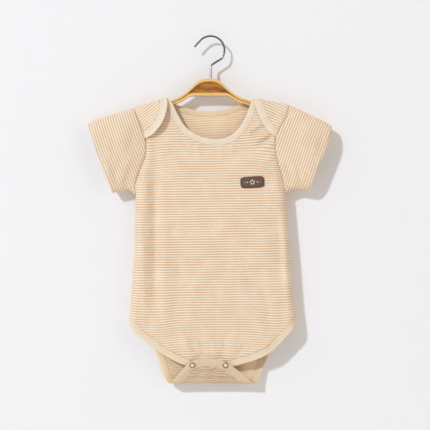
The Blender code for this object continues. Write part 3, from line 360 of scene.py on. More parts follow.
SLEEVE_WRINKLES_LEFT = (
    (-134, -228, -119, -231, 3, 1.8), (-152, -186, -143, -238, 6, -2.4),
    (-166, -146, -156, -228, 9, 2.2), (-122, -128, -134, -190, 9, 1.6),
    (-124, -222, -112, -196, 3, -1.3), (-136, -226, -120, -180, 3.5, 1.2),
    (-148, -228, -134, -176, 4, -1), (-160, -210, -156, -150, 5, 0.7),
    (-112, -140, -128, -176, 4, -0.8),
)
SLEEVE_WRINKLES_RIGHT = (
    (112, -186, 121, -236, 5.5, -2.4), (140, -238, 134, -186, 6, -2),
    (164, -150, 150, -228, 9, 2.2), (122, -222, 112, -194, 3, -1.3),
    (134, -226, 120, -182, 3.5, 1.2), (148, -224, 136, -172, 4, -1),
    (160, -206, 158, -150, 5, 0.7), (112, -140, 128, -176, 4, -0.8),
)
print(len(FRONT_WRINKLES) + len(BACK_WRINKLES), "small wrinkles on the panels")

# %% [markdown]
# These few functions turn a table into a smooth line, read a line at a height, and find places
# on it by its length or by the numbers of its points.

# %% Lines


def smooth_line(points, steps=8):
    """A Catmull-Rom line through the points, as an array of (x, z)."""
    knots = np.array(points, float)
    knots = np.vstack([2 * knots[0] - knots[1], knots, 2 * knots[-1] - knots[-2]])
    t = np.linspace(0, 1, steps, endpoint=False)[:, None]
    line = []
    for before, start, end, after in zip(knots, knots[1:], knots[2:], knots[3:]):
        bend = 2 * before - 5 * start + 4 * end - after
        twist = 3 * start - before - 3 * end + after
        line.append(0.5 * (2 * start + (end - before) * t + bend * t**2 + twist * t**3))
    return np.vstack(line + [knots[-2:-1]])


def joined(*tables):
    return np.vstack([smooth_line(table)[:-1] for table in tables[:-1]] + [smooth_line(tables[-1])])


def at_height(line, z):
    """The x of a line at a height. The line may run either way."""
    rising = line if line[0, 1] < line[-1, 1] else line[::-1]
    return np.interp(z, rising[:, 1], rising[:, 0])


def on_side(side, heights):
    return np.column_stack([at_height(side, heights), heights])


def run_along(line):
    """The length along a line from its start to each of its points."""
    return np.concatenate([[0], np.cumsum(np.linalg.norm(np.diff(line, axis=0), axis=1))])


def length_shares(line):
    run = run_along(line)
    return run / run[-1]


def between(values, known, line):
    """Points of a line at these values, where its own points are at the known ones."""
    return np.column_stack([np.interp(values, known, column) for column in line.T])


def at_shares(line, shares):
    return between(shares, length_shares(line), line)


def at_stations(line, stations):
    return between(stations, np.arange(len(line)), line)


print("left armhole", round(run_along(smooth_line(ARMHOLE_LEFT))[-1]), "mm long")

# %% [markdown]
# A panel fills the space between four edges with rows of points. Its rows run from side seam to
# side seam and its columns from hem to shoulder, which suits striped knitting.

# %% Steps and patches


def unit(vectors):
    return vectors / np.maximum(np.linalg.norm(vectors, axis=-1, keepdims=True), 1e-9)


def sideways(line):
    """Unit steps to the left of a line as it runs."""
    along = unit(np.gradient(line, axis=0))
    return np.column_stack([-along[:, 1], along[:, 0]])


def moved(line, widths):
    return line + sideways(line) * np.broadcast_to(widths, len(line))[:, None]


def circle(sides):
    """Even angles once round, and their points on a circle with a radius of 1."""
    angles = np.linspace(0, TURN, sides, endpoint=False)
    return angles, np.column_stack([np.cos(angles), np.sin(angles)])


def rotated(points, angle):
    c, s = math.cos(angle), math.sin(angle)
    return points @ np.array(((c, s), (-s, c)))


def turn_steps(turn, count=4):
    """Distances from a turned edge that follow a quarter circle, without its far end."""
    return [turn * (1 - math.cos(math.pi / 2 * i / count)) for i in range(count)]


def parts_of(values, step):
    """How many parts each gap is cut into, so that none is longer than the step."""
    return [max(math.ceil(abs(b - a) / step), 1) for a, b in zip(values, values[1:])]


def finer(values, parts):
    values = list(values)
    cut = [np.linspace(a, b, n, endpoint=False) for a, b, n in zip(values, values[1:], parts)]
    return np.concatenate(cut + [values[-1:]])


def patch(left, right, bottom, top):
    """Rows of points between four edges that meet at the corners."""
    s = ((length_shares(bottom) + length_shares(top)) / 2)[None, :, None]
    t = ((length_shares(left) + length_shares(right)) / 2)[:, None, None]
    low, high = ((1 - s) * edge[0] + s * edge[-1] for edge in (bottom, top))
    sides = (1 - s) * left[:, None] + s * right[:, None]
    return sides + (1 - t) * (bottom[None] - low) + t * (top[None] - high)


LEFT, RIGHT = joined(SIDE_LEFT, ARMHOLE_LEFT), joined(SIDE_RIGHT, ARMHOLE_RIGHT)
UNDERARM_LEFT, UNDERARM_RIGHT = SIDE_LEFT[-1][1], SIDE_RIGHT[-1][1]
HALVES = ((LEFT, UNDERARM_LEFT), (RIGHT, UNDERARM_RIGHT))
print(f"chest {at_height(RIGHT, -262) - at_height(LEFT, -262):.0f} mm wide, laid flat")

# %% [markdown]
# How far a panel stands out from the garment's middle is the sum of its fullness, its folds and
# a slow unevenness. It turns round in a quarter circle at the side seams, over the hanger's
# arms and at the bottom fold. Where two cloths are sewn, a soft valley pulls the seam down.

# %% How far the cloth stands out
FRONT, BACK = 1, 2  # columns of the two tables of fullness
SEAM_VALLEY = 1.6
SEAM_VALLEY_WIDTH = 2.3


def shoulder_top(drop, x):
    return np.interp(x, *np.transpose(SHOULDER)) - drop


outer_top = functools.partial(shoulder_top, OUTER_DROP)
inner_top = functools.partial(shoulder_top, INNER_DROP)


def turned(share):
    """How far out a cloth has come, from 0 at a turned edge to 1 where it lies flat."""
    return np.sqrt(1 - (1 - np.clip(share, 0, 1)) ** 2)


def folds_out(x, z, folds):
    out = np.zeros(np.broadcast(x, z).shape)
    for x0, z0, x1, z1, half_width, height in folds:
        length = math.hypot(x1 - x0, z1 - z0)
        share = ((x - x0) * (x1 - x0) + (z - z0) * (z1 - z0)) / length**2
        aside = ((x - x0) * (z1 - z0) - (z - z0) * (x1 - x0)) / length / half_width
        out += height * np.sin(math.pi * np.clip(share, 0, 1)) ** 0.7 * np.exp(-(aside**2))
    return out


def by_height(table, z, column):
    rows = np.array(sorted(table))
    return np.interp(z, rows[:, 0], rows[:, column])


def above_underarm(x, z):
    return z - np.where(x < 0, UNDERARM_LEFT, UNDERARM_RIGHT)


def side_seam_share(x, z):
    """1 along a side seam, and 0 up an armhole, where the cloth runs on into the sleeve."""
    return np.clip(1 - above_underarm(x, z) / UNDERARM_TURN, 0, 1)


def sway(x, z):
    """The slow unevenness of cotton that has been washed and worn."""
    slow = np.sin(x / 19 + z / 83) + np.sin(x / 31 - z / 57 + 1.3)
    return 0.28 * slow + 0.14 * np.sin(x / 8.3 + z / 37 + 0.6) + 0.1 * np.sin(z / 9.7 - x / 41)


def stands_out(x, z, face, folds):
    """How far a panel stands out from the middle of the garment."""
    aside = np.minimum(x - at_height(LEFT, z), at_height(RIGHT, z) - x)
    seam = by_height(ARMHOLE, above_underarm(x, z), face)
    full = by_height(FULLNESS, z, face) + folds_out(x, z, folds) + sway(x, z)
    share = np.clip(aside / SIDE_TURN, 0, 1)
    round_share = side_seam_share(x, z)
    rise = round_share * turned(share) + (1 - round_share) * share**2 * (3 - 2 * share)
    valley = SEAM_VALLEY * np.exp(-((aside / SEAM_VALLEY_WIDTH) ** 2)) * (1 - round_share)
    return seam + (full - seam) * rise - valley


def flap_lift(x, z, side, edge, lift):
    """A shoulder flap hangs clear of the front towards its free edge."""
    edge, seam_x = smooth_line(edge), at_height(side, z)
    span = at_height(edge, z) - seam_x
    across = np.clip((x - seam_x) / (span + np.where(span < 0, -1, 1)), 0, 1)
    down = np.clip((edge[0, 1] - z) / (edge[0, 1] - edge[-1, 1]), 0, 1)
    return lift * across**1.5 * np.sin(math.pi * down**1.4) ** 0.7


print("the cloth has turned flat", SIDE_TURN, "mm from a side seam")

# %% [markdown]
# A place rule takes a point of the front view and says where its cloth lies in space. The lower
# back is placed by the length along its cloth instead, since it folds up over the front.

# %% Where each cloth lies


def at_depth(x, out, z):
    """Points so far out to the front, or to the back where that is negative."""
    return np.stack(np.broadcast_arrays(x, -out, z), axis=-1)


def front_place(x, z):
    out = stands_out(x, z, FRONT, FRONT_FOLDS + FRONT_WRINKLES)
    return at_depth(x, out * turned((inner_top(x) - z) / SHOULDER_TURN), z)


def back_place(x, z):
    over = turned((outer_top(x) - z) / SHOULDER_TURN) * turned((z - FOLD_HEIGHT) / CROTCH_TURN)
    return at_depth(x, -stands_out(x, z, BACK, BACK_FOLDS + BACK_WRINKLES) * over, z)


def shoulder_flap_place(x, z):
    left = flap_lift(x, z, LEFT, FLAP_EDGE_LEFT, FLAP_LIFT_LEFT)
    right = flap_lift(x, z, RIGHT, FLAP_EDGE_RIGHT, FLAP_LIFT_RIGHT)
    out = stands_out(x, z, FRONT, FLAP_WRINKLES) + LAYER + np.where(x < 0, left, right)
    return at_depth(x, out * turned((outer_top(x) - z) / SHOULDER_TURN), z)


def crotch_flap_place(x, z):
    folds = folds_out(x, z, CROTCH_FOLDS + CROTCH_WRINKLES)
    out = by_height(FULLNESS, z, FRONT) + SNAP_LAYER + folds
    return at_depth(x, out * turned((z - FOLD_HEIGHT) / CROTCH_TURN), z)


def run_at(z, way):
    """The length along the cloth from the bottom fold, up the back or, where the way is -1,
    up the crotch flap."""
    rise = z - FOLD_HEIGHT
    turn = CROTCH_RUN * np.arccos(1 - np.minimum(rise / CROTCH_TURN, 1)) / (math.pi / 2)
    return way * (turn + np.maximum(rise - CROTCH_TURN, 0))


def height_at(run):
    run = np.abs(run)
    turn = CROTCH_TURN * (1 - np.cos(math.pi / 2 * np.minimum(run / CROTCH_RUN, 1)))
    return FOLD_HEIGHT + turn + np.maximum(run - CROTCH_RUN, 0)


def crotch_place(x, run):
    """The lower back panel by the length along its cloth from the bottom fold."""
    z = height_at(run)
    return np.where((run > 0)[..., None], back_place(x, z), crotch_flap_place(x, z))


print(f"belly stands {-front_place(0, -320)[1]:.1f} mm out")

# %% [markdown]
# A binding is a strip of rib folded over the raw edge. It is described by its free edge and by
# the line where the panel starts, both at the same stations, so that panel and strip always
# share one seam. Here the strip also laps a little over the panel, as a sewn one does.

# %% Binding strips
RIB_LAP = 0.9
RIB_ACROSS = np.array((0, 0.03, 0.09, 0.2, 0.34, 0.46, 0.58, 0.72, 0.84, 0.93, 0.98, 1))
RIB_HALF = np.array((0.12, 0.5, 0.78, 0.95, 0.97, 0.84, 0.96, 0.95, 0.82, 0.86, 0.72, 0.45))


class Rib:
    """A strip's free edge, its seam, and the line past it where the panel starts."""

    def __init__(self, edge, widths):
        self.edge, self.seam = edge, moved(edge, widths)
        self.panel = moved(edge, widths + np.sign(widths) * SEAM)

    def stations_where(self, values, axis, first=0, last=None):
        """The stations where the panel's line has these values."""
        line, stations = self.panel[first:last, axis], np.arange(len(self.panel))[first:last]
        way = -1 if line[0] > line[-1] else 1
        return np.interp(values, line[::way], stations[::way])

    def strip(self, stations, place):
        """The strip's middle surface, from the free edge to just past the seam."""
        edge, seam = (at_stations(line, stations)[:, None] for line in (self.edge, self.seam))
        lap = 1 + (SEAM + RIB_LAP) / np.linalg.norm(self.seam - self.edge, axis=1).mean()
        flat = edge + (seam - edge) * lap * RIB_ACROSS[None, :, None]
        return place(flat[..., 0], flat[..., 1])


print("a binding's section has", 2 * len(RIB_ACROSS), "points")

# %% [markdown]
# A mesh of cloth is built from whole sheets at once: NumPy numbers the corners of every square,
# and Blender gets one list. Each point also keeps its place on the flat pattern, in metres, as
# its UV. That is what lets the stripes follow the cloth over a shoulder or round a fold.

# %% Making pieces of cloth
MEET = 0.02 * MM  # points this close are one


def new_piece(name, points, faces, materials, flat, slot, *nodes):
    """A smooth mesh that rides on the body, takes its materials and stands for CAD nodes.
    The points and their places on the flat pattern are in millimetres. The slot is not used."""
    mesh = bpy.data.meshes.new(name)
    mesh.from_pydata(np.asarray(points) * MM, [], faces)
    corners = np.empty(len(mesh.loops), np.int32)
    mesh.loops.foreach_get("vertex_index", corners)
    mesh.uv_layers.new(name="flat").uv.foreach_set("vector", (flat[corners] * MM).ravel())
    for material in materials:
        mesh.materials.append(material)
    mesh.shade_smooth()
    obj = add_object(name, mesh)
    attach(obj, "root")
    if nodes:
        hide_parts(*nodes)
    return obj


def cleaned(mesh, meet=False, outward=False):
    """Joins the points that meet, or turns every face outward."""
    work = bmesh.new()
    work.from_mesh(mesh)
    if meet:
        bmesh.ops.remove_doubles(work, verts=work.verts, dist=MEET)
    if outward:
        bmesh.ops.recalc_face_normals(work, faces=work.faces)
    work.to_mesh(mesh)
    work.free()


def sheet_faces(grid, start):
    """Squares of a grid of points, wound so that they face away from the garment's middle."""
    at = np.arange(grid.size // 3).reshape(grid.shape[:2])
    quads = np.stack([at[:-1, :-1], at[:-1, 1:], at[1:, 1:], at[1:, :-1]], axis=-1).reshape(-1, 4)
    a, b, c, d = (grid.reshape(-1, 3)[quads[:, i]] for i in range(4))
    outward = (np.cross(c - a, d - b)[:, 1] * np.sign((a + b + c + d)[:, 1])).sum()
    return (quads if outward > 0 else quads[:, ::-1]) + start


def cloth(name, sheets, materials, node):
    """One piece of jersey from sheets of points and of flat places, joined where they meet."""
    starts = np.cumsum([0] + [grid.size // 3 for grid, _ in sheets])
    faces = np.concatenate([sheet_faces(grid, start) for (grid, _), start in zip(sheets, starts)])
    points, flat = (
        np.concatenate([sheet[i].reshape(-1, size) for sheet in sheets])
        for i, size in ((0, 3), (1, 2))
    )
    obj = new_piece(name, points, faces.tolist(), materials, flat, "jersey", node)
    cleaned(obj.data, meet=True)
    wall = obj.modifiers.new("Wall of jersey", "SOLIDIFY")
    wall.thickness = WALL * MM
    wall.offset = 0
    # the inner faces take the wrong side, painted with the glow of light through the cloth
    wall.material_offset = 1
    return obj


print("cloth wall", WALL, "mm, rib", RIB_WALL, "mm")

# %% [markdown]
# A strip, a wire or a moulding is a row of rings instead. Neighbouring rings are skinned with
# squares, and the ends are capped, or the last ring is joined to the first.

# %% Making pieces from rings


def ring_faces(rows, around, caps=True, joined=False):
    """The skin of a row of rings, with a cap at each end or its last ring joined to its first."""
    at = np.arange(rows * around).reshape(rows, around)
    above, below = (at, np.roll(at, -1, axis=0)) if joined else (at[:-1], at[1:])
    quads = np.stack([above, np.roll(above, -1, 1), np.roll(below, -1, 1), below], axis=-1)
    ends = [at[0].tolist(), at[-1, ::-1].tolist()] if caps and not joined else []
    return quads.reshape(-1, 4).tolist() + ends


def ringed(name, rings, materials, flat, slot, *nodes, **ends):
    """A closed piece from rings of points and their flat places."""
    faces = ring_faces(*rings.shape[:2], **ends)
    points, flat = rings.reshape(-1, 3), flat.reshape(-1, 2)
    piece = new_piece(name, points, faces, materials, flat, slot, *nodes)
    cleaned(piece.data, meet=not ends.get("caps", True), outward=True)
    return piece


def crossed(along, across):
    """Flat places from a length for each row and one for each column."""
    return np.stack(np.broadcast_arrays(along[:, None], across[None, :]), axis=-1)


print("a tube of two rings of six points has", len(ring_faces(2, 6)), "faces")

# %% [markdown]
# Cotton single jersey is knitted from soft yarn in rows, and here the rows change colour every
# two millimetres, so the stripes lie along the cloth's own courses. They are drawn from the
# flat pattern, not from space. A soft noise shifts each edge, because dyed yarn bleeds a little.
# The stitches themselves are under a millimetre, finer than this picture can show, so they are
# drawn about half as coarse again, as V-shaped loops in the bump.

# %% Striped jersey
STRIPE_PITCH = 3.85  # one ivory and one tan stripe
STITCH = 1.3
RGBA = {"out": 2, "data_type": "RGBA"}  # a Mix node's colours are its inputs 6 and 7
SMOOTH = {"interpolation_type": "SMOOTHSTEP"}
COTTON = {"Specular IOR Level": 0.25, "Sheen Weight": 0.35, "Sheen Roughness": 0.5}


def flat_place(add):
    """The place on the flat pattern, in millimetres, and its X and Y."""
    metres = add("UVMap", {}, uv_map="flat")
    place = add("VectorMath", {0: metres, "Scale": 1 / MM}, operation="SCALE")
    x = add("SeparateXYZ", [place])
    return place, x, x.node.outputs["Y"]


def clouds(add, place, size, low, high, detail=2, start=0, end=1):
    """Soft lumps about this many millimetres across, from a low value to a high one."""
    noise = add("TexNoise", {"Vector": place, "Scale": 1 / size, "Detail": detail})
    return add("MapRange", [noise, start, end, low, high])


def waves(add, along, pitch):
    """A wave from -1 to 1 that comes again after each pitch, in millimetres."""
    angle = add("Math", [along, TURN / pitch], operation="MULTIPLY")
    return add("Math", [angle], operation="SINE")


def dress(add, shader, colour, roughness, height, strength, depth, others):
    """Colour, roughness and bump, where a height of 1 stands for a depth in millimetres."""
    bump = add("Bump", {"Height": height, "Strength": strength, "Distance": depth * MM})
    fill(shader, {"Base Color": colour, "Roughness": roughness, "Normal": bump, **others})


def jersey(name, ivory, tan, contrast=1.0):
    material, shader, add = new_material(name)
    place, x, y = flat_place(add)
    bleed = add("Math", [clouds(add, place, 30, -0.7, 0.7), clouds(add, place, 1.6, -0.35, 0.35)])
    wave = waves(add, add("Math", [y, bleed]), STRIPE_PITCH)
    stripe = add("MapRange", [wave, -0.55, 0.55, 0, contrast], **SMOOTH)
    faded = add("Math", [stripe, clouds(add, place, 24, 0.4, 1.5)], operation="MULTIPLY")
    tone = add("Mix", {0: faded, 6: ivory, 7: tan}, **RGBA)
    specks = clouds(add, place, 1.1, 0, 0.15, 4, 0.3, 0.7)
    tone = add("Mix", {0: specks, 6: tone, 7: "C9A57E"}, **RGBA)
    worn = clouds(add, place, 45, 0, 0.11, 3, 0.35, 0.75)
    tone = add("Mix", {0: worn, 6: tone, 7: "FFF6E8"}, **RGBA)
    half = add("Math", [x, STITCH / 2], operation="PINGPONG")
    slant = add("Math", [half, 1.5, y], operation="MULTIPLY_ADD")
    loops = [waves(add, slant, 0.8 * STITCH), 0.35, waves(add, half, STITCH)]
    knit = add("Math", loops, operation="MULTIPLY_ADD")
    fuzz = add("Math", [knit, clouds(add, place, 5.5, 0, 2.6, 3)])
    rough = clouds(add, place, 3, 0.78, 0.94)
    dress(add, shader, tone, rough, fuzz, 0.55, 0.22, {"Sheen Tint": "FFF3E2", **COTTON})
    return material


face_side = jersey("yarn-dyed cotton jersey, face side", "FAEDD7", "DDB689")
# the wrong side's softer stripes are its own; its warmer, brighter colours are painted light, the
# glow of light shining through the thin cloth
wrong_side_painted_glow = jersey("yarn-dyed cotton jersey, wrong side with painted glow", "FFECCC", "EDC08F", 0.85)
# painted shade: a darker copy of the jersey for the crotch flap, which faces down and away from the
# light
crotch_flap_painted_shade = jersey("yarn-dyed cotton jersey, crotch flap in painted shade", "E0CFB4", "C09A70")
print("stripe pitch", STRIPE_PITCH, "mm, drawn stitch", STITCH, "mm")

# %% [markdown]
# The bindings are cut from one-by-one rib in undyed ivory. Rib is knitted with every other
# wale sunk, which makes fine cords straight across the strip. It is thicker and springier than
# the jersey, so the strips stay round. The cords are drawn at 1.5 mm to show in the picture.

# %% Ivory rib
RIB_CORD = 1.5


def rib_cloth(name, pale, shade):
    material, shader, add = new_material("cotton one-by-one rib, " + name)
    place, x, _ = flat_place(add)
    cord = waves(add, add("Math", [x, clouds(add, place, 6, -0.25, 0.25)]), RIB_CORD)
    depth = add("Math", [cord, 0.16, 0.2], operation="MULTIPLY_ADD")
    tone = add("Mix", {0: depth, 6: pale, 7: shade}, **RGBA)
    tone = add("Mix", {0: clouds(add, place, 14, 0, 0.25, 3), 6: tone, 7: shade}, **RGBA)
    pucker = add("Math", [cord, clouds(add, place, 4, 0, 2.2)])
    dress(add, shader, tone, clouds(add, place, 14, 0.78, 0.92, 3), pucker, 0.6, 0.2, COTTON)
    return material


rib_face = rib_cloth("undyed", "F6E8D3", "DFC7A5")
# painted shade: the back's leg bindings are the same undyed rib, coloured darker as the shade they
# lie in
rib_leg_painted_shade = rib_cloth("leg strips in painted shade", "E8D4B5", "CCAC84")
rib_hem = rib_cloth("front hem", "F5E5CB", "DCC09A")
# painted warm shade: the inside of every binding is the same undyed rib, coloured darker and more
# orange
rib_inside_painted_warm_shade = rib_cloth("inner side in painted warm shade", "F6DFBB", "DDB98E")
print("rib cords", RIB_CORD, "mm apart")

# %% [markdown]
# A panel is filled in from its edges, so its points are set along them first: closer where the
# cloth turns, and at the same heights on both sides. A binding's ends are pinned to the side
# seams or carried straight over the shoulders.

# %% Edges of the panels
ROW = 2.2  # points of the fine grid are about this far apart
HEM_RIB_ALONG_SIDE = 13.5
ARM_RISES = (0, 3.5, 9.5, 18.5, 31.5, 45.5, 59.5, 73.5, 86.5)
SIDE_ROWS = 8


def on_pattern(x, z, pulls=(), slope=0):
    """A point's place on the flat pattern. The stripes run where the second number is level."""
    level = z - slope * x
    for x0, z0, across, up, pull in pulls:
        level = level - pull * np.exp(-(((x - x0) / across) ** 2) - ((z - z0) / up) ** 2)
    return np.stack([x, level], axis=-1)


def sheet_of(points, place, *pattern):
    x, z = points[..., 0], points[..., 1]
    return place(x, z), on_pattern(x, z, *pattern)


def armhole_heights(underarm, top, rises):
    upper = [top - distance for distance in turn_steps(SHOULDER_TURN)][::-1]
    return [underarm + rise for rise in rises] + [top - SHOULDER_TURN] + upper


def top_of_side(side, top):
    """Where an armhole meets the shoulder's turn."""
    z = side[-1, 1]
    for _ in range(20):
        z = float(top(at_height(side, z)))
    return z


def across_panel(start, end, count):
    near = turn_steps(SIDE_TURN, 8) + [SIDE_TURN]
    middle = list(np.linspace(start + SIDE_TURN, end - SIDE_TURN, count - 2 * len(near) + 2))[1:-1]
    return np.array([start + d for d in near] + middle + [end - d for d in near[::-1]])


def top_edge(rib, top, stations):
    """A panel's upper edge: left shoulder, the neck's seam and right shoulder."""
    neck, shoulders = at_stations(rib.panel, stations), []
    for side, end in ((LEFT, neck[0, 0]), (RIGHT, neck[-1, 0])):
        start = at_height(side, top_of_side(side, top))
        way = np.sign(end - start)
        columns = [start + way * distance for distance in turn_steps(SIDE_TURN) + [SIDE_TURN]]
        columns += [(columns[-1] + end) / 2, end]
        xs = finer(columns, parts_of(columns, ROW))[:-1]
        shoulders.append(np.column_stack([xs, top(xs)]))
    return np.vstack([shoulders[0], neck, shoulders[1][::-1]]), len(shoulders[0])


def neck_rib(table, widths, top, end_width):
    """A neck's binding. Both ends cross the turn over the shoulder straight."""
    rib = Rib(smooth_line(table), widths)
    for index, way in ((0, -1), (-1, 1)):
        for line, out in ((rib.edge, 0), (rib.seam, end_width), (rib.panel, end_width + SEAM)):
            line[index, 0] = rib.edge[index, 0] + way * out
            line[index, 1] = top(line[index, 0])
    return rib


def neck_stations(rib, count):
    """Stations along a neck seam, closer where it turns over the shoulders."""
    first = SHOULDER_TURN / run_along(rib.panel)[-1]
    near = np.array(turn_steps(first, 5))
    shares = np.concatenate([near, np.linspace(first, 1 - first, count), 1 - near[::-1]])
    return np.interp(shares, length_shares(rib.panel), np.arange(len(rib.panel)))


def pin_to_sides(rib, level=float):
    """A leg's binding ends a little way up each side seam."""
    for index, side in ((0, LEFT), (-1, RIGHT)):
        z = side[0, 1] + HEM_RIB_ALONG_SIDE
        rib.seam[index] = at_height(side, z), level(z)
        rib.panel[index] = at_height(side, z + SEAM), level(z) + SEAM


print("points about", ROW, "mm apart")

# %% [markdown]
# The front panel runs from the leg binding to the neck binding and has two narrow extensions
# that go up under the back's flaps and over the hanger. In the photograph the stripes drift by
# a few millimetres, so a table of pulls moves them on the flat pattern.

# %% Front panel
FRONT_PULLS = (  # x, z, half width, half height, and how far up the stripes are pulled
    (-100, -190, 30, 26, -4), (98, -190, 26, 22, -4.5), (84, -160, 20, 16, 3),
    (-86, -440, 30, 40, -3), (100, -440, 26, 44, -3), (0, -480, 60, 30, 3), (0, -165, 44, 26, -2),
)

front_neck = neck_rib(FRONT_NECK, -NECK_RIB, inner_top, NECK_RIB)
front_neck_at = neck_stations(front_neck, 110)
front_top, _ = top_edge(front_neck, inner_top, front_neck_at)
front_hem = Rib(smooth_line(FRONT_HEM), LEG_RIB)
pin_to_sides(front_hem)
columns = across_panel(front_hem.panel[0, 0], front_hem.panel[-1, 0], len(front_top))
front_hem_at = front_hem.stations_where(columns, 0)
front_bottom = at_stations(front_hem.panel, front_hem_at)

front_sides, parts = [], None
for (side, underarm), end in zip(HALVES, (front_bottom[0], front_bottom[-1])):
    top = top_of_side(side, inner_top)
    rows = list(np.linspace(end[1], underarm, SIDE_ROWS + 1))[:-1]
    upper = list(np.linspace(underarm + ARM_RISES[-1], top - SHOULDER_TURN, 5))[1:-1]
    rows += armhole_heights(underarm, top, list(ARM_RISES) + [z - underarm for z in upper])
    parts = parts or parts_of(rows, ROW)
    front_sides.append(on_side(side, finer(rows, parts)))
points = patch(*front_sides, front_bottom, front_top)
front_sheet = sheet_of(points, front_place, FRONT_PULLS, 0.012)
front = cloth("front_cloth", [front_sheet], (face_side, wrong_side_painted_glow), "front_panel")
print("front panel", points.shape[:2], "points")

# %% [markdown]
# The back panel is one cloth with its two shoulder flaps and its crotch flap. Folding a level
# stripe over a sloping shoulder turns it to twice that slope, which is why the flaps' stripes
# run at about 35 degrees. Mirroring the flat places in the shoulder line gives just that.

# %% Flaps and the crotch edge
FLAP_SEAM_RISE = 97.5
FLAP_RISES = (FLAP_SEAM_RISE, 103, 110, 118)
FLAP_CORNER_RISE = 117
FLAP_ROW = 1.6
GAP = 0.3


def mirrored_over(start, end, points):
    """Flat places of a flap: the front view mirrored in its shoulder line."""
    along, offset = unit(end - start), points - start
    return start + 2 * (offset @ along)[..., None] * along - offset


def flap_rib(table, side, underarm, width, neck_end):
    line = smooth_line(table)
    line[-1, 0] = at_height(side, line[-1, 1])
    rib = Rib(line, width)
    z = underarm + FLAP_SEAM_RISE
    rib.seam[-1] = at_height(side, z - 2 * GAP), z - 2 * GAP
    rib.panel[-1] = at_height(side, z), z
    for name in ("edge", "seam", "panel"):
        getattr(rib, name)[0] = getattr(back_neck, name)[neck_end]
    return rib


def make_flap(shoulder, side, underarm, rib):
    """A flap that comes down from a shoulder's points: its sheet and its rib's stations."""
    rows = armhole_heights(underarm, top_of_side(side, outer_top), FLAP_RISES)[::-1]
    parts = parts_of(rows, FLAP_ROW)
    corner = rib.stations_where([underarm + FLAP_CORNER_RISE], 1)[0]
    falls = [rib.panel[0, 1] - distance for distance in turn_steps(SHOULDER_TURN) + [SHOULDER_TURN]]
    corner_z = at_stations(rib.panel, [corner])[0, 1]
    falls += list(np.linspace(falls[-1], corner_z, len(rows) - len(falls) + 1))[1:]
    down_at = rib.stations_where(finer(falls, parts), 1)
    down_at[0], down_at[-1] = 0, corner
    across_at = corner + (len(rib.panel) - 1 - corner) * (1 - length_shares(shoulder))
    down, across = at_stations(rib.panel, down_at), at_stations(rib.panel, across_at)
    points = patch(on_side(side, finer(rows, parts)), down, shoulder, across)
    flat = mirrored_over(shoulder[0], shoulder[-1], points)
    stations = np.concatenate([down_at, across_at[::-1][1:]])
    return (shoulder_flap_place(points[..., 0], points[..., 1]), flat), stations


def crotch_rib():
    """The back panel's whole leg and crotch edge, by x and the length along the cloth."""
    flap = CROTCH_SIDE_LEFT[1:] + CROTCH_END[1:] + CROTCH_SIDE_RIGHT[-2:0:-1]
    rows = [(x, run_at(z, 1)) for x, z in BACK_LEG_LEFT] + [(x, run_at(z, -1)) for x, z in flap]
    line = smooth_line(rows + [(x, run_at(z, 1)) for x, z in BACK_LEG_RIGHT[::-1]])
    runs = (-CROTCH_RUN, 2 * CROTCH_RUN)
    rib = Rib(line, np.interp(line[:, 1], runs, (CROTCH_RIB, LEG_RIB)))
    pin_to_sides(rib, lambda z: run_at(z, 1))
    return rib


print("a flap lies", LAYER, "mm from the front's cloth, middle to middle")

# %% [markdown]
# The main sheet goes from the bottom fold to the shoulders. The crotch flap runs on from the
# fold, gathered a little between the snaps, and the two shoulder flaps start from the very
# points of the main sheet's shoulders, so all four join into one cloth.

# %% Back panel
TONGUE_CORNER = -22.5
BACK_PULLS = (
    (-96, -190, 28, 26, -3.5), (96, -190, 28, 26, -3.5), (0, -140, 60, 24, 2.5),
    (-80, -430, 34, 40, -3), (84, -430, 34, 40, -3),
)

shares, widths = (0, 0.16, 0.84, 1), (FLAP_RIB, BACK_NECK_RIB, BACK_NECK_RIB, FLAP_RIB)
neck_widths = np.interp(length_shares(smooth_line(BACK_NECK)), shares, widths)
back_neck = neck_rib(BACK_NECK, -neck_widths, outer_top, FLAP_RIB)
back_neck_at = neck_stations(back_neck, 84)
back_top, shoulder_count = top_edge(back_neck, outer_top, back_neck_at)

crotch, parts = crotch_rib(), None
lowest = int(np.argmin(crotch.panel[:, 1]))
back_sides, tongue_sides, side_at, tongue_at = [], [], [], []
for (side, underarm), part in zip(HALVES, ((0, lowest + 1), (lowest, None))):
    corner = crotch.panel[0 if side is LEFT else -1, 1]
    runs = list(np.linspace(0, CROTCH_RUN + CROTCH_RIB, 13))
    runs += list(np.linspace(runs[-1], corner - SIDE_TURN, 28))[1:]
    runs += [corner - fall for fall in turn_steps(SIDE_TURN, 6)[::-1]]
    side_at.append(crotch.stations_where(runs, 1, *part))
    lower = at_stations(crotch.panel, side_at[-1])
    lower[:, 1] = height_at(lower[:, 1])
    rows = list(np.linspace(height_at(corner), underarm, SIDE_ROWS + 1))
    rows += armhole_heights(underarm, top_of_side(side, outer_top), ARM_RISES + FLAP_RISES)[1:]
    parts = parts or parts_of(rows, ROW)
    back_sides.append(np.vstack([lower, on_side(side, finer(rows, parts)[1:])]))
    tongue_at.append(crotch.stations_where(np.linspace(0, TONGUE_CORNER, 22), 1, *part))
    tongue_sides.append(at_stations(crotch.panel, tongue_at[-1]))
columns = across_panel(back_sides[0][0, 0], back_sides[1][0, 0], len(back_top))
fold = np.column_stack([columns, np.full(len(columns), FOLD_HEIGHT)])
points = patch(*back_sides, fold, back_top)
main_sheet = sheet_of(points, back_place, BACK_PULLS, 0.05)

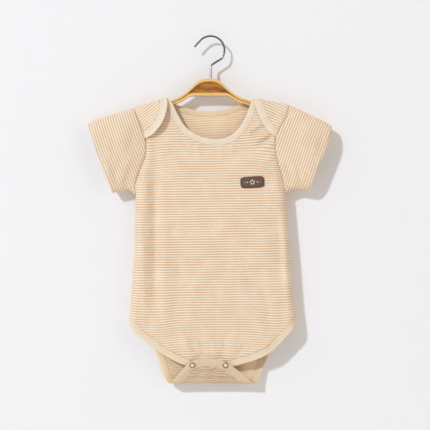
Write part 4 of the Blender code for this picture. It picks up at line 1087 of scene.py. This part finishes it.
ends = np.linspace(tongue_sides[0][-1, 0], tongue_sides[1][-1, 0], len(back_top))
tongue_end_at = crotch.stations_where(ends, 0)
tongue_end = at_stations(crotch.panel, tongue_end_at)
points = patch(*tongue_sides, np.column_stack([columns, 0 * columns]), tongue_end)
x, z = points[..., 0], points[..., 1] + FOLD_HEIGHT
gathers = 0.9 * np.sin(x / 5.1) + 0.6 * np.sin(x / 2.9 + 1) * np.cos(z / 4)
tongue_flat = on_pattern(x, z + gathers * np.clip((FOLD_HEIGHT - z) / 8, 0, 1))
tongue_sheet = (crotch_place(points[..., 0], points[..., 1]), tongue_flat)

rib_left = flap_rib(FLAP_EDGE_LEFT, *HALVES[0], -FLAP_RIB, 0)
rib_right = flap_rib(FLAP_EDGE_RIGHT, *HALVES[1], FLAP_RIB, -1)
flap_left, left_at = make_flap(back_top[: shoulder_count + 1], *HALVES[0], rib_left)
flap_right, right_at = make_flap(back_top[-shoulder_count - 1 :][::-1], *HALVES[1], rib_right)
jerseys = (face_side, wrong_side_painted_glow, crotch_flap_painted_shade, wrong_side_painted_glow)
sheets = [main_sheet, tongue_sheet, flap_left, flap_right]
back = cloth("back_cloth", sheets, jerseys, "back_panel")
# the crotch flap's outer faces take the jersey painted darker as shade
for face in back.data.polygons:
    face.material_index = 2 if face.center.y < -0.5 * MM and face.center.z < -480 * MM else 0
print("back panel's sheets", [sheet[0].shape[:2] for sheet in sheets])

# %% [markdown]
# A sleeve swells between the armhole's seam and the cuff, is round at its upper fold and at the
# underarm seam, and is drawn in along the row of stitches that holds its hem. At the cuff the
# cloth is turned in, so the open end shows a soft double edge.

# %% Forms of a sleeve
SLEEVE_SWELL = 2.5
CUFF_TURN = 26
FLAP_STEP = 14
HEM = 12
HEM_INSETS = (0.5, 1.2, 1.45)


def sleeve_face(points, root, cuff, along, face, underarm, folds):
    """How far one face of a sleeve stands out, for each ring and each place round it."""
    share = along[:, None]
    over = turned((root[0, 1] - root[:, 1]) / SHOULDER_TURN)
    seam = by_height(ARMHOLE, above_underarm(root[:, 0], root[:, 1]), face) * over
    if face == FRONT:
        above_tip = (root[:, 1] - underarm - ARM_RISES[-1]) / FLAP_STEP
        seam = seam + LAYER * over * np.clip(above_tip + 0.5, 0, 1)
    round_in = length_shares(root)[None, :] * run_along(cuff)[-1] / CUFF_TURN
    round_edge = turned(round_in) * turned(run_along(cuff)[-1] / CUFF_TURN - round_in)
    swell = np.sin(math.pi * share) * round_edge
    fullest = CUFF_FRONT if face == FRONT else CUFF_BACK
    out = (1 - share) * seam[None, :] + share * fullest * round_edge
    x, z = points[..., 0], points[..., 1]
    out = out + swell * (SLEEVE_SWELL + folds_out(x, z, folds) + sway(x, z))
    span = np.linalg.norm(points[-1] - points[0], axis=-1)[None, :]
    out = out - 0.9 * round_edge * np.exp(-((share * span / SEAM_VALLEY_WIDTH) ** 2))
    return out - 0.55 * round_edge * np.exp(-((((1 - share) * span - HEM) / 1.7) ** 2))


def turned_in(rings, count):
    """The last rings again, from the cuff back, each a little inside the cloth."""
    inner = rings[-1 : -count - 1 : -1].copy()
    steps = HEM_INSETS + HEM_INSETS[-1:] * (count - len(HEM_INSETS))
    insets = np.array(steps)[:, None, None]
    centres = inner.mean(axis=1, keepdims=True)
    tall = np.linalg.norm((inner - centres)[..., [0, 2]], axis=-1).max(axis=1)[:, None, None]
    inner[..., 1:2] *= 1 - insets / np.abs(inner[..., 1]).max(axis=1)[:, None, None]
    for axis in (0, 2):
        inner[..., axis] += ((centres - inner) * insets / tall)[..., axis]
    return inner


print("hem turned in", HEM, "mm")

# %% [markdown]
# Each sleeve is one piece, sewn round the armhole into a flat tube. Its rows here are rings from
# the armhole to the cuff and a little way back inside. The stripes run parallel to the cuff.

# %% Sleeves
SLEEVE_ROWS = 38
SLEEVE_SEAM = 0.25


def sleeve(name, half, tables, folds, node):
    (side, underarm), (top_table, cuff_table, under_table) = half, tables
    way = -1 if side is LEFT else 1
    top = top_of_side(side, outer_top)
    rows = armhole_heights(underarm, top, ARM_RISES + FLAP_RISES)[::-1]
    root = on_side(side, finer(rows, parts_of(rows, ROW)))
    root[:, 0] += way * (SLEEVE_SEAM + WALL / 2 * side_seam_share(root[:, 0], root[:, 1]))
    root[-1] = under_table[0]
    along = np.linspace(0, 1, SLEEVE_ROWS)
    over, under = smooth_line(top_table), smooth_line(under_table)
    over[0] = root[0]
    cuff = at_shares(smooth_line(cuff_table), length_shares(root))
    points = patch(at_shares(over, along), at_shares(under, along), root, cuff)
    faces = []
    for face, outward in ((FRONT, 1), (BACK, -1)):
        out = sleeve_face(points, root, cuff, along, face, underarm, folds) * outward
        out[:, [0, -1]] = 0
        faces.append(at_depth(points[..., 0], out, points[..., 1]))
    rings = np.concatenate([faces[0], faces[1][:, -2::-1]], axis=1)
    reach = np.linalg.norm(points[-1] - points[0], axis=-1).mean()
    count = max(round(HEM / reach * (SLEEVE_ROWS - 1)), len(HEM_INSETS))
    rings = np.concatenate([rings, turned_in(rings, count)])
    line, offset = unit(cuff[-1] - cuff[0]), rings[..., [0, 2]] - cuff[0]
    along_cuff, up = offset @ line, offset @ np.array([-line[1], line[0]])
    flat = np.stack([along_cuff, up + 1.2 * np.sin(along_cuff / 23)], axis=-1)
    return cloth(name, [(rings, flat)], (face_side, wrong_side_painted_glow), node)


left_tables = (SLEEVE_TOP_LEFT, SLEEVE_CUFF_LEFT, SLEEVE_UNDER_LEFT)
right_tables = (SLEEVE_TOP_RIGHT, SLEEVE_CUFF_RIGHT, SLEEVE_UNDER_RIGHT)
folds = SLEEVE_FOLDS_LEFT + SLEEVE_WRINKLES_LEFT
left_sleeve = sleeve("left_sleeve_cloth", HALVES[0], left_tables, folds, "sleeve_left")
folds = SLEEVE_FOLDS_RIGHT + SLEEVE_WRINKLES_RIGHT
right_sleeve = sleeve("right_sleeve_cloth", HALVES[1], right_tables, folds, "sleeve_right")
print("a sleeve has", SLEEVE_ROWS, "rings to the cuff")

# %% [markdown]
# Now the strips are lofted. The section is a flat oval, fuller at the folded edge and drawn in
# where the two needles of the seam go through, and it is carried along the strip on the cloth's
# own normals, so it rolls over the shoulders and round the bottom fold with the cloth.

# %% Bindings


def outward_normals(mid):
    """Unit normals of a grid of points, away from the garment's middle."""
    normals = unit(np.cross(np.gradient(mid, axis=0), np.gradient(mid, axis=1)))
    return normals * np.sign((normals[..., 1] * np.sign(mid[..., 1])).sum())


def binding(name, mid, node, outside):
    """A closed strip round a grid of middle points. Returns the piece, and its lines for sewing."""
    normals, run = outward_normals(mid), run_along(mid[:, 4])
    ripple = 1 + 0.1 * np.sin(run / 2.9) + 0.07 * np.sin(run / 1.7 + 1)
    half = normals * (RIB_HALF * RIB_WALL / 2 * ripple[:, None])[..., None]
    rings = np.concatenate([mid + half, (mid - half)[:, ::-1]], axis=1)
    width = np.linalg.norm(mid[:, -1] - mid[:, 0], axis=-1).mean()
    across = np.concatenate([RIB_ACROSS, 2 - RIB_ACROSS[::-1]]) * width
    piece = ringed(name, rings, (outside, rib_inside_painted_warm_shade), crossed(run, across), "rib", node)
    # the inner faces take the rib painted in warm shade
    inside = np.arange(len(piece.data.polygons)) % len(across) >= len(RIB_ACROSS) - 1
    inside[-2:] = False
    piece.data.polygons.foreach_set("material_index", inside.astype(int).tolist())
    print(name, "has", len(mid), "sections")
    return piece, (mid, normals)


twice = finer(front_neck_at, [2] * (len(front_neck_at) - 1))
neck_strips = [
    rib_left.strip(left_at[::-1], shoulder_flap_place)[:-1],
    back_neck.strip(back_neck_at, back_place),
    rib_right.strip(right_at, shoulder_flap_place)[1:],
]
leg_at = [
    side_at[0][::-1], tongue_at[0][1:], tongue_end_at[1:-1], tongue_at[1][::-1], side_at[1][1:],
]
strips = {}
for name, mid, node, outside in (
    ("front_neck", front_neck.strip(twice, front_place), "neck_binding_front", rib_face),
    ("front_leg", front_hem.strip(front_hem_at, front_place), "leg_binding_front", rib_hem),
    ("back_neck", np.concatenate(neck_strips), "neck_binding_back", rib_face),
    ("back_leg", crotch.strip(np.concatenate(leg_at), crotch_place), "leg_binding_back", rib_leg_painted_shade),
):
    strips[name] = binding(name + "_rib", mid, node, outside)

# %% [markdown]
# Sewing thread is spun from cotton or polyester and twisted, so fine slanting lines run round
# it. They are finer than the picture can show, so they are drawn coarser, and only shade it.

# %% Thread
TWIST = (0.7, (0.3, 0.4), (0.06, 0.62), 0.3, (0.5, 0.08))  # the values after the colours


def slanting_thread(name, code, shade, pitch, depth, gloss, sheen, bump, uneven=0.0, blotch=0.0):
    """Thread with fine slanting lines. Depth and gloss are each a share of them and a base."""
    material, shader, add = new_material(name)
    place, x, y = flat_place(add)
    slant = add("Math", [add("Math", [x, y]), clouds(add, place, 2, -uneven, uneven)])
    lines = waves(add, slant, pitch)
    tone, rough = (add("Math", [lines, *pair], operation="MULTIPLY_ADD") for pair in (depth, gloss))
    tone = add("Mix", {0: tone, 6: code, 7: shade}, **RGBA)
    tone = add("Mix", {0: clouds(add, place, 5, 0, blotch), 6: tone, 7: shade}, **RGBA)
    dress(add, shader, tone, rough, lines, *bump, {"Sheen Weight": sheen})
    return material


# painted shade: the darker sand thread stands in for the shadow in a seam's valley
seam_shade_thread = slanting_thread("spun cotton thread, sand, painted as seam shade", "C9A173", "9F7A50", *TWIST)
cream_thread = slanting_thread("spun cotton thread, cream", "EAD6B4", "CFB387", *TWIST)
print("threads:", seam_shade_thread.name, "and", cream_thread.name)

# %% [markdown]
# The seams that show are sewn with a twin needle: two rows of short straight stitches a few
# millimetres apart. Each stitch here is a tiny capsule of thread laid on the rib, and a whole
# row is one mesh made from arrays, because a thousand separate objects would be slow to handle.
# Real stitches are 2.5 mm long; the thread is drawn a little thick so that it shows.

# %% Stitches beside the bindings
CAPSULE = ((-0.5, 0.35), (-0.34, 1), (0.34, 1), (0.5, 0.35))  # along the length, and how wide
THREAD_SIDES = 6
ON_RIB = (2, 3.1, 0.35)  # length, pitch and radius of a stitch
ON_JERSEY = (1.9, 3.4, 0.26)


def resampled(line, step):
    """Points every step along a line in space, their directions, and the shares of its rows."""
    run = run_along(line)
    at = np.arange(step / 2, run[-1], step)
    before, after = (between(at + d, run, line) for d in (-0.4, 0.4))
    return (before + after) / 2, unit(after - before), np.interp(at, run, np.arange(len(line)))


def sew(name, rows, slot="rib", size=ON_RIB):
    """Rows of stitches as one mesh. A row is a line of points, its normals and its thread."""
    length, pitch, radius = size
    shares, wide = np.array(CAPSULE).T
    angles, round_thread = circle(THREAD_SIDES)
    one = ring_faces(len(CAPSULE), THREAD_SIDES)
    points, flat, threads = [], [], []
    for line, normals, thread in rows:
        centres, along, rows_at = resampled(line, pitch)
        rise = unit(at_stations(normals, rows_at))
        aside = np.cross(along, rise)[:, None, None]
        out = round_thread[:, :1] * aside + round_thread[:, 1:] * rise[:, None, None]
        middles = centres[:, None] + along[:, None] * (shares * length)[:, None]
        block = middles[:, :, None] + out * (wide * radius)[:, None, None]
        points.append(block.reshape(-1, 3))
        places = ((shares * length)[:, None] + rows_at[:, None, None], angles * radius)
        flat.append(np.stack(np.broadcast_arrays(*places), axis=-1).reshape(-1, 2))
        threads += [thread] * len(centres) * len(one)
    points, flat = np.concatenate(points), np.concatenate(flat)
    starts = range(0, len(points), len(CAPSULE) * THREAD_SIDES)
    faces = [[corner + start for corner in face] for start in starts for face in one]
    piece = new_piece(name, points, faces, (seam_shade_thread, cream_thread), flat, slot)
    piece.data.polygons.foreach_set("material_index", threads)
    cleaned(piece.data, outward=True)
    print(name, "has", len(starts), "stitches")
    return piece


def rib_row(mid, normals, share, way, thread):
    """A line on a binding at a share of its width, outside or, where the way is -1, inside."""
    column = np.interp(share, RIB_ACROSS, np.arange(len(RIB_ACROSS)))
    low, part = int(column), column - int(column)
    line, normal = (grid[:, low] * (1 - part) + grid[:, low + 1] * part for grid in (mid, normals))
    normal = normal * way
    return line + normal * np.interp(share, RIB_ACROSS, RIB_HALF) * RIB_WALL / 2, normal, thread


# the rows next to each binding's seam take the darker thread, painted shade along the seam; the
# other rows are cream
twin = [(share, way, thread) for share, thread in ((0.6, 1), (0.93, 0)) for way in (1, -1)]
for name in ("front_neck", "back_neck", "front_leg", "back_leg"):
    sew(name + "_stitches", [rib_row(*strips[name][1], *row) for row in twin])

# %% [markdown]
# The armhole and hem seams are topstitched with the same thread, in single rows that sink into
# the soft jersey. A row on a panel is found by its place rule, and pushed out along the cloth's
# own normal by half the wall. The turned hem of a sleeve is held by a row right round the cuff,
# found by casting a short ray at the finished cloth, so the thread lies on it exactly.

# %% Stitches on the jersey
ARM_STITCH_IN = 2.2
HEM_SHARES = (0.07, 0.93)  # where along the cuff the hem's row shows
RAY_START = 60  # in front of the cloth, or behind it


def cloth_normals(place, x, z, step=0.6):
    """Unit normals of a place rule, towards the front."""
    east, north = place(x + step, z) - place(x - step, z), place(x, z + step) - place(x, z - step)
    normals = unit(np.cross(east, north))
    return normals * np.where(normals[..., 1:2] > 0, -1, 1)


arm_rows = []
for (side, underarm), way in zip(HALVES, (1, -1)):
    for place, low, high, facing in (
        (front_place, 14, 84, 1), (shoulder_flap_place, 100, 126, 1), (back_place, 14, 128, -1)
    ):
        z = np.linspace(underarm + low, underarm + high, 120)
        x = at_height(side, z) + way * ARM_STITCH_IN
        normals = cloth_normals(place, x, z) * facing
        # the armhole rows take the darker thread, painted shade along the seam
        arm_rows.append((place(x, z) + normals * WALL / 2, normals, 0))
sew("armhole_stitches", arm_rows, "jersey", ON_JERSEY)
bpy.context.view_layer.update()
graph = bpy.context.evaluated_depsgraph_get()
hem_rows = []
for piece, table, way in (
    (left_sleeve, SLEEVE_CUFF_LEFT, -1), (right_sleeve, SLEEVE_CUFF_RIGHT, 1),
):
    cuff = piece.evaluated_get(graph)
    line = at_shares(smooth_line(table), np.linspace(*HEM_SHARES, 90))
    across = unit(np.array([line[-1, 1] - line[0, 1], line[0, 0] - line[-1, 0]]))
    line = line - across * np.sign(across[0] * way) * HEM
    for look in (1, -1):
        rays = [(Vector((x, -RAY_START * look, z)) * MM, Vector((0, look, 0))) for x, z in line]
        hits = [hit for hit in (cuff.ray_cast(*ray) for ray in rays) if hit[0]]
        found, normals = (np.array([hit[i] for hit in hits]) for i in (1, 2))
        hem_rows.append((found / MM, normals, 1))
sew("sleeve_hem_stitches", hem_rows, "jersey", ON_JERSEY)

# %% [markdown]
# A ring snap is pressed from thin steel sheet: a domed ring whose teeth go through the cloth,
# which shows in the middle as a small tight bulge. Turning one profile round an axis, as on a
# lathe, gives each pressed part. The steel is nickel plated, so it is smooth and a little warm,
# with fine polishing lines round the ring.

# %% Plated steel and the snaps
RING_PROFILE = (
    (2.95, -0.35), (2.95, 0.25), (3.05, 0.62), (3.3, 0.84), (3.65, 0.9), (4, 0.8),
    (4.28, 0.5), (4.42, 0.1), (4.4, -0.25), (4.1, -0.38), (3.4, -0.4),
)
SOCKET_PROFILE = (
    (0, -1), (3.2, -1), (4.1, -0.92), (4.5, -0.7), (4.58, -0.3), (4.58, 0.3), (4.5, 0.7),
    (4.1, 0.92), (3.2, 1), (0, 1),
)
CLOTH_BULGE = (
    (0, 0.62), (1.2, 0.58), (2.1, 0.4), (2.7, 0.1), (2.98, -0.25), (2.98, -0.4), (0, -0.4),
)
SNAPS = {"left": (-27.5, -503), "right": (23, -503)}


def solid_place(add):
    """The place in space, in millimetres."""
    place = add("TexCoord", {}, "Object")
    return add("VectorMath", {0: place, "Scale": 1 / MM}, operation="SCALE")


def plated_steel(name, code, roughness, line_size):
    """Nickel-plated steel. Fine lines left by polishing spread the highlights a little."""
    material, shader, add = new_material(name)
    place = solid_place(add)
    tone = add("Mix", {0: clouds(add, place, 2.5, 0, 0.35, 3), 6: code, 7: "75716A"}, **RGBA)
    lines = clouds(add, place, line_size, 0, 1, 4)
    rough = add("Math", [lines, 0.16, roughness], operation="MULTIPLY_ADD")
    dress(add, shader, tone, rough, lines, 0.25, 0.03, {"Metallic": 1})
    return material


nickel = plated_steel("nickel-plated steel, pressed and polished", "9E9A8E", 0.24, 0.5)


def turned_part(name, profile, middle, normal, material, slot, *nodes, height=1.0, sides=56):
    """A profile of radius and height turned round an axis. It closes where the radius is 0."""
    x, y = circle(sides)[1].T
    radii, heights = (np.array(profile) * (1, height)).T[..., None]
    rings = np.stack(np.broadcast_arrays(radii * x, radii * y, heights), axis=-1)
    turn = np.array(Vector(normal).to_track_quat("Z", "Y").to_matrix())
    ends = {"caps": False, "joined": bool(profile[0][0])}
    ringed(name, rings @ turn.T + middle, (material,), rings[..., :2], slot, *nodes, **ends)


for side, (x, z) in SNAPS.items():
    outer, inner = crotch_flap_place(x, z), front_place(x, z)
    normal = cloth_normals(crotch_flap_place, np.array([x]), np.array([z]))[0]
    away = normal * (RIB_WALL / 2 + 0.42)
    deep = (abs(outer[1] - inner[1]) - RIB_WALL) / 2 - 0.35
    steel, upper, lower = (nickel, "snap"), (outer + away, normal), (inner - away, -normal)
    turned_part("snap_front_" + side, RING_PROFILE, *upper, *steel, "snap_ring_front_" + side)
    turned_part("snap_inside_" + side, RING_PROFILE, *lower, *steel, "snap_ring_inside_" + side)
    turned_part("snap_cloth_" + side, CLOTH_BULGE, *upper, rib_face, "rib")
    middle = ((outer + inner) / 2, (0, -1, 0))
    name, node = "snap_press_" + side, "snap_socket_" + side
    turned_part(name, SOCKET_PROFILE, *middle, *steel, node, height=deep)
print("snap ring", 2 * max(radius for radius, _ in RING_PROFILE), "mm across")

# %% [markdown]
# The small patch on the chest is woven, cut with rounded corners and edged with satin stitch,
# whose threads lie close together across the edge. It will carry a plain flower with two small
# dots on either side, embroidered in cream.

# %% Woven patch
PATCH_CENTRE = (64, -224)
PATCH_HALF = np.array((17.5, 8))
PATCH_TILT = math.radians(3)
PATCH_CORNER = 0.42  # under 1 squares the oval into a rounded patch
PATCH_LOW = WALL / 2 + 0.12  # how far the patch's back and face stand out from the panel
PATCH_HIGH = PATCH_LOW + 1.02
SATIN = 0.75  # radius of the edge's satin stitch
TWILL = ((0.3, 0.35), (0.08, 0.6), 0.2, (0.6, 0.1), 0.2, 0.3)

patch_twill, edge_thread, sprig_thread = (
    slanting_thread(name, code, shade, pitch, *TWILL)
    for name, code, shade, pitch in (
        ("woven polyester twill, brown", "6E5447", "513B31", 1.1),
        ("satin-stitched polyester thread, dark brown", "5C4438", "3E2C24", 0.8),
        ("embroidery thread, cream", "E9DCC8", "C9B395", 0.7),
    )
)


def on_patch(outline, out):
    """An outline on the patch, so far out from the panel."""
    x, z = (rotated(outline, PATCH_TILT) + PATCH_CENTRE).T
    return front_place(x, z) + cloth_normals(front_place, x, z) * out


outline = circle(120)[1]
outline = np.sign(outline) * np.abs(outline) ** PATCH_CORNER * PATCH_HALF
levels = [(0.2, PATCH_LOW), (0.6, PATCH_LOW), (0.97, PATCH_LOW), (1, PATCH_LOW + 0.2)]
crown = ((1, -0.2), (0.97, 0), (0.8, 0.05), (0.6, 0.1), (0.4, 0.12), (0.2, 0.13), (0.05, 0.13))
levels += [(share, PATCH_HIGH + up) for share, up in crown]
rings = np.array([on_patch(outline * share, out) for share, out in levels])
flat = np.array([outline * share for share, _ in levels])
ringed("woven_patch", rings, (patch_twill,), flat, "badge", "chest_badge")

angles, section = circle(10)
rings = []
for inward, up in section:
    wider = 1 + 0.6 * SATIN * (0.55 - inward) / PATCH_HALF
    rings.append(on_patch(outline * wider, PATCH_HIGH - 0.15 + SATIN * up))
flat = crossed(np.linspace(0, 84, len(outline)), angles * SATIN)
rings = np.array(rings).transpose(1, 0, 2)
ringed("patch_edge", rings, (edge_thread,), flat, "badge", joined=True)
print("patch", 2 * PATCH_HALF, "mm")

# %% [markdown]
# Each petal and each dot is a small pad of satin stitch. It is a closed dome of three rings, the
# lowest a little inside the patch so that no gap shows.

# %% Embroidery
PAD = 0.45  # how high the thread stands
DOTS = ((-11.5, 0.8), (-7.6, 1.15), (7.6, 1.15), (11.5, 0.8))  # across, radius
PETALS = 5


def petal(angle, length=3.3, width=2.7, out=1.2):
    """A pointed oval of satin stitch that starts a little out from the flower's middle."""
    share = np.linspace(0, 1, 9)
    half = width / 2 * np.sin(math.pi * share) ** 0.8
    sides = [np.stack([out + share * length, way * half], axis=1) for way in (1, -1)]
    return rotated(np.concatenate([sides[0], sides[1][-2:0:-1]]), angle)


shapes = [circle(14)[1] * radius + (across, 0) for across, radius in DOTS]
shapes += [petal(TURN * number / PETALS + math.pi / 2) for number in range(PETALS)]
points, faces = [], []
for line in shapes:
    inner = line.mean(axis=0) * 0.45 + line * 0.55
    faces += [[corner + len(points) for corner in face] for face in ring_faces(3, len(line))]
    for ring, rise in ((line, -0.1), (line, PAD * 0.55), (inner, PAD)):
        points += list(on_patch(ring, PATCH_HIGH + 0.08 + rise))
points = np.array(points)
sprig = new_piece("patch_sprig", points, faces, (sprig_thread,), points[:, [0, 2]], "badge")
cleaned(sprig.data, outward=True)
print(len(shapes), "embroidered shapes")

# %% [markdown]
# The hanger is injection moulded from a clear amber plastic. Colour swirls through it as it
# flowed into the mould, its surface is glossy, and its web is painted deeper in colour where it
# lies back between the rims, as shade.

# %% Amber plastic


def moulded_plastic(name, rim, web):
    """Glossy dyed polystyrene. Its colour is painted deeper where it is recessed, as shade."""
    material, shader, add = new_material(name)
    place = solid_place(add)
    depth = add("Math", [add("SeparateXYZ", [place], "Y")], operation="ABSOLUTE")
    # painted shade: where the web lies back between the rims it takes the darker colour
    recess_shade = add("MapRange", [depth, 4.9, 2.2, 0, 1], **SMOOTH)
    stretched = add("Mapping", {0: place, "Rotation": (0, 0.6, 0), "Scale": (0.3, 1, 1)})
    flow = clouds(add, stretched, 5, 0, 1, 4)
    swirl = add("MapRange", [flow, 0.35, 0.65, 0, 1], **SMOOTH)
    streaked = add("Mix", {0: swirl, 6: web, 7: "8A4C06"}, **RGBA)
    warm = add("Mix", {0: clouds(add, stretched, 5, 0, 0.5, 4), 6: rim, 7: "D08F35"}, **RGBA)
    tone = add("Mix", {0: recess_shade, 6: warm, 7: streaked}, **RGBA)
    rough = clouds(add, stretched, 5, 0.16, 0.28, 4)
    glow = {"Subsurface Weight": 0.15, "Subsurface Radius": (0.006, 0.003, 0.001)}
    gloss = {"IOR": 1.59, "Coat Weight": 0.4, "Coat Roughness": 0.08, **glow}
    dress(add, shader, tone, rough, flow, 0.15, 0.15, gloss)
    return material


# the second colour is the web's, darker as painted shade
amber = moulded_plastic("injection-moulded polystyrene, amber", "F4CE80", "BE7C1A")
print("hanger of", amber.name)

# %% [markdown]
# The hanger is one moulding. Its two rims stand proud of a thin web, and every edge is rounded
# so that it leaves the mould. The outline is a table of stations along X; a smooth curve through
# them and small arcs at the corners of each section turn it into the moulded form.

# %% Moulded hanger
HANGER = (
    (-115, -114.8, -117.6, 1, 2.8, 2.4), (-112, -113.4, -118.8, 1.9, 4.2, 3.4),
    (-98, -109, -115.7, 2.7, 4.4, 3.2), (-78, -104.2, -111.2, 2.9, 4.4, 3.2),
    (-67, -100.8, -107.8, 2.9, 4.2, 3.2), (-56, -96.4, -103.8, 3.1, 4.4, 3.2),
    (-48, -92.4, -101, 3.5, 5, 3.2), (-40, -87.5, -96.8, 3.6, 5, 3),
    (-33.5, -82, -92.4, 3.9, 5, 2.2), (-26, -74.5, -91, 4.3, 5, 1.6),
    (-19, -68.6, -91, 4.6, 5, 1.6), (-12, -65.4, -91, 4.6, 5, 1.6), (-5, -64.4, -91, 4.6, 5, 1.6),
    (5.5, -64.5, -91, 4.6, 5, 1.6), (12, -66.9, -91, 4.6, 5, 1.6), (19, -72, -91, 4.6, 5, 1.6),
    (26, -79, -91.2, 4.3, 5, 1.8), (33.5, -85.5, -95, 3.8, 5, 2.6), (40, -90, -99.4, 3.8, 5, 3),
    (48, -93.8, -102, 3.4, 5, 3.2), (57, -96.8, -105, 3.4, 4.6, 3.2),
    (66, -101.2, -108.4, 3, 4.4, 3.2), (80, -103.8, -110.8, 2.9, 4.4, 3.2),
    (101, -107.8, -114.6, 2.7, 4.4, 3.2), (112, -110.8, -116.2, 1.9, 4.2, 3.4),
    (115, -112, -115, 1, 2.8, 2.4),
)
RIM_ROUND = 1.2  # radius of the lower edge in the middle, where the hanger is 25 mm deep
HANGER_DEEP = 25
WEB_SLOPE = 0.25
STATION = 2  # between sections


def hanger_corners(top, bottom, rim, depth, web):
    """Corners of one section: two rims with a web between them. Each corner has its radius."""
    edge = max(RIM_ROUND * (top - bottom) / HANGER_DEEP, 0.6)
    slope = (depth - web) * WEB_SLOPE
    half = [
        (depth, top, 1.3), (depth, top - rim, 0.6), (web, top - rim - slope, 0.9),
        (web, bottom + rim + slope, 0.9), (depth, bottom + rim, 0.6), (depth, bottom, edge),
    ]
    return [(-y, z, r) for y, z, r in half] + half[::-1]


def rounded_section(corners, steps=5):
    """The section with an arc in place of every corner."""
    corners, points = np.array(corners), []
    places = corners[:, :2]
    neighbours = zip(np.roll(places, 1, 0), np.roll(places, -1, 0))
    for here, radius, others in zip(places, corners[:, 2], neighbours):
        legs = [(other - here, np.linalg.norm(other - here)) for other in others]
        reach = min([radius] + [length * 0.45 for _, length in legs])
        start, end = (here + leg / length * reach for leg, length in legs)
        for t in np.linspace(0, 1, steps):
            points.append((1 - t) ** 2 * start + 2 * t * (1 - t) * here + t**2 * end)
    return np.array(points)


def smooth_row(table, x):
    """The table's columns at any x, by a smooth curve that keeps to its stations."""
    slopes = np.gradient(table[:, 1:], table[:, 0], axis=0)
    i = int(np.clip(np.searchsorted(table[:, 0], x) - 1, 0, len(table) - 2))
    wide = table[i + 1, 0] - table[i, 0]
    t = (x - table[i, 0]) / wide
    rise = t**2 * (3 - 2 * t)
    bend = wide * (t * (1 - t) ** 2 * slopes[i] - t**2 * (1 - t) * slopes[i + 1])
    return (1 - rise) * table[i, 1:] + rise * table[i + 1, 1:] + bend


table = np.array(HANGER)
stations = np.arange(table[0, 0], table[-1, 0] + STATION / 2, STATION)
rings = []
for x in stations:
    section = rounded_section(hanger_corners(*smooth_row(table, x)))
    rings.append(np.insert(section, 0, x, axis=1))
rings = np.array(rings)
ringed("moulded_hanger", rings, (amber,), rings[..., [0, 2]], "hanger", "hanger_body")
print("hanger", len(stations), "sections of", rings.shape[1], "points")

# %% [markdown]
# The hook is drawn steel wire, bent cold round a former and plated. It is a tube along one smooth
# curve, thicker at the shank where it is screwed into the hanger, with a rounded tip.

# %% Wire hook
WIRE_RADIUS = 1.5
SHANK_RADIUS = 1.9
SHANK_TOP = -45
HOOK_RADIUS = 21.5
STEM_X = 0.5
# painted reflection: the bend's steel is darker and the shank's brighter, standing in for the dark
# and bright surroundings each would mirror
wire_painted_dark = plated_steel("drawn steel wire, plated, painted dark as a reflection", "7C7A78", 0.12, 0.8)
shank_painted_bright = plated_steel("drawn steel wire, shank painted bright as a reflection", "CDCCCA", 0.34, 0.8)

angles = np.radians(np.linspace(-38, 142, 40))
bow = HOOK_RADIUS * np.column_stack([np.cos(angles), np.sin(angles)])
bow += (0, WIRE_RADIUS - HOOK_RADIUS)
stem = [(STEM_X, z) for z in (-66.7, -60, -52, -47, SHANK_TOP)] + [(3, -42.2), (11.5, -36.6)]
route = smooth_line(np.vstack([stem, bow, [(-21, -11.2), (-25, -15.5)]]), 4)
run = run_along(route)
ends = (0, 19, 20.5, run[-1] - 1.3, run[-1] - 0.5, run[-1])
shares = np.array((SHANK_RADIUS, SHANK_RADIUS, *(WIRE_RADIUS * np.array((1, 1, 0.8, 0.25)))))
radii = np.interp(run, ends, shares)[:, None]
turns, section = circle(20)
flat = crossed(run, turns * WIRE_RADIUS)
x, z = route.T[..., None] + sideways(route).T[..., None] * section[:, 0] * radii
rings = np.stack([x, section[:, 1] * radii, z], axis=-1)
hook = ringed("wire_hook", rings, (wire_painted_dark, shank_painted_bright), flat, "hook", "hanger_hook")
# the shank below SHANK_TOP takes the steel painted bright as a reflection
for face in hook.data.polygons:
    face.material_index = int(face.center.z < SHANK_TOP * MM)
print("hook wire", round(float(run[-1])), "mm long")

# %% [markdown]
# The last cell only says that every piece is made.

# %% Done
print("every piece made")
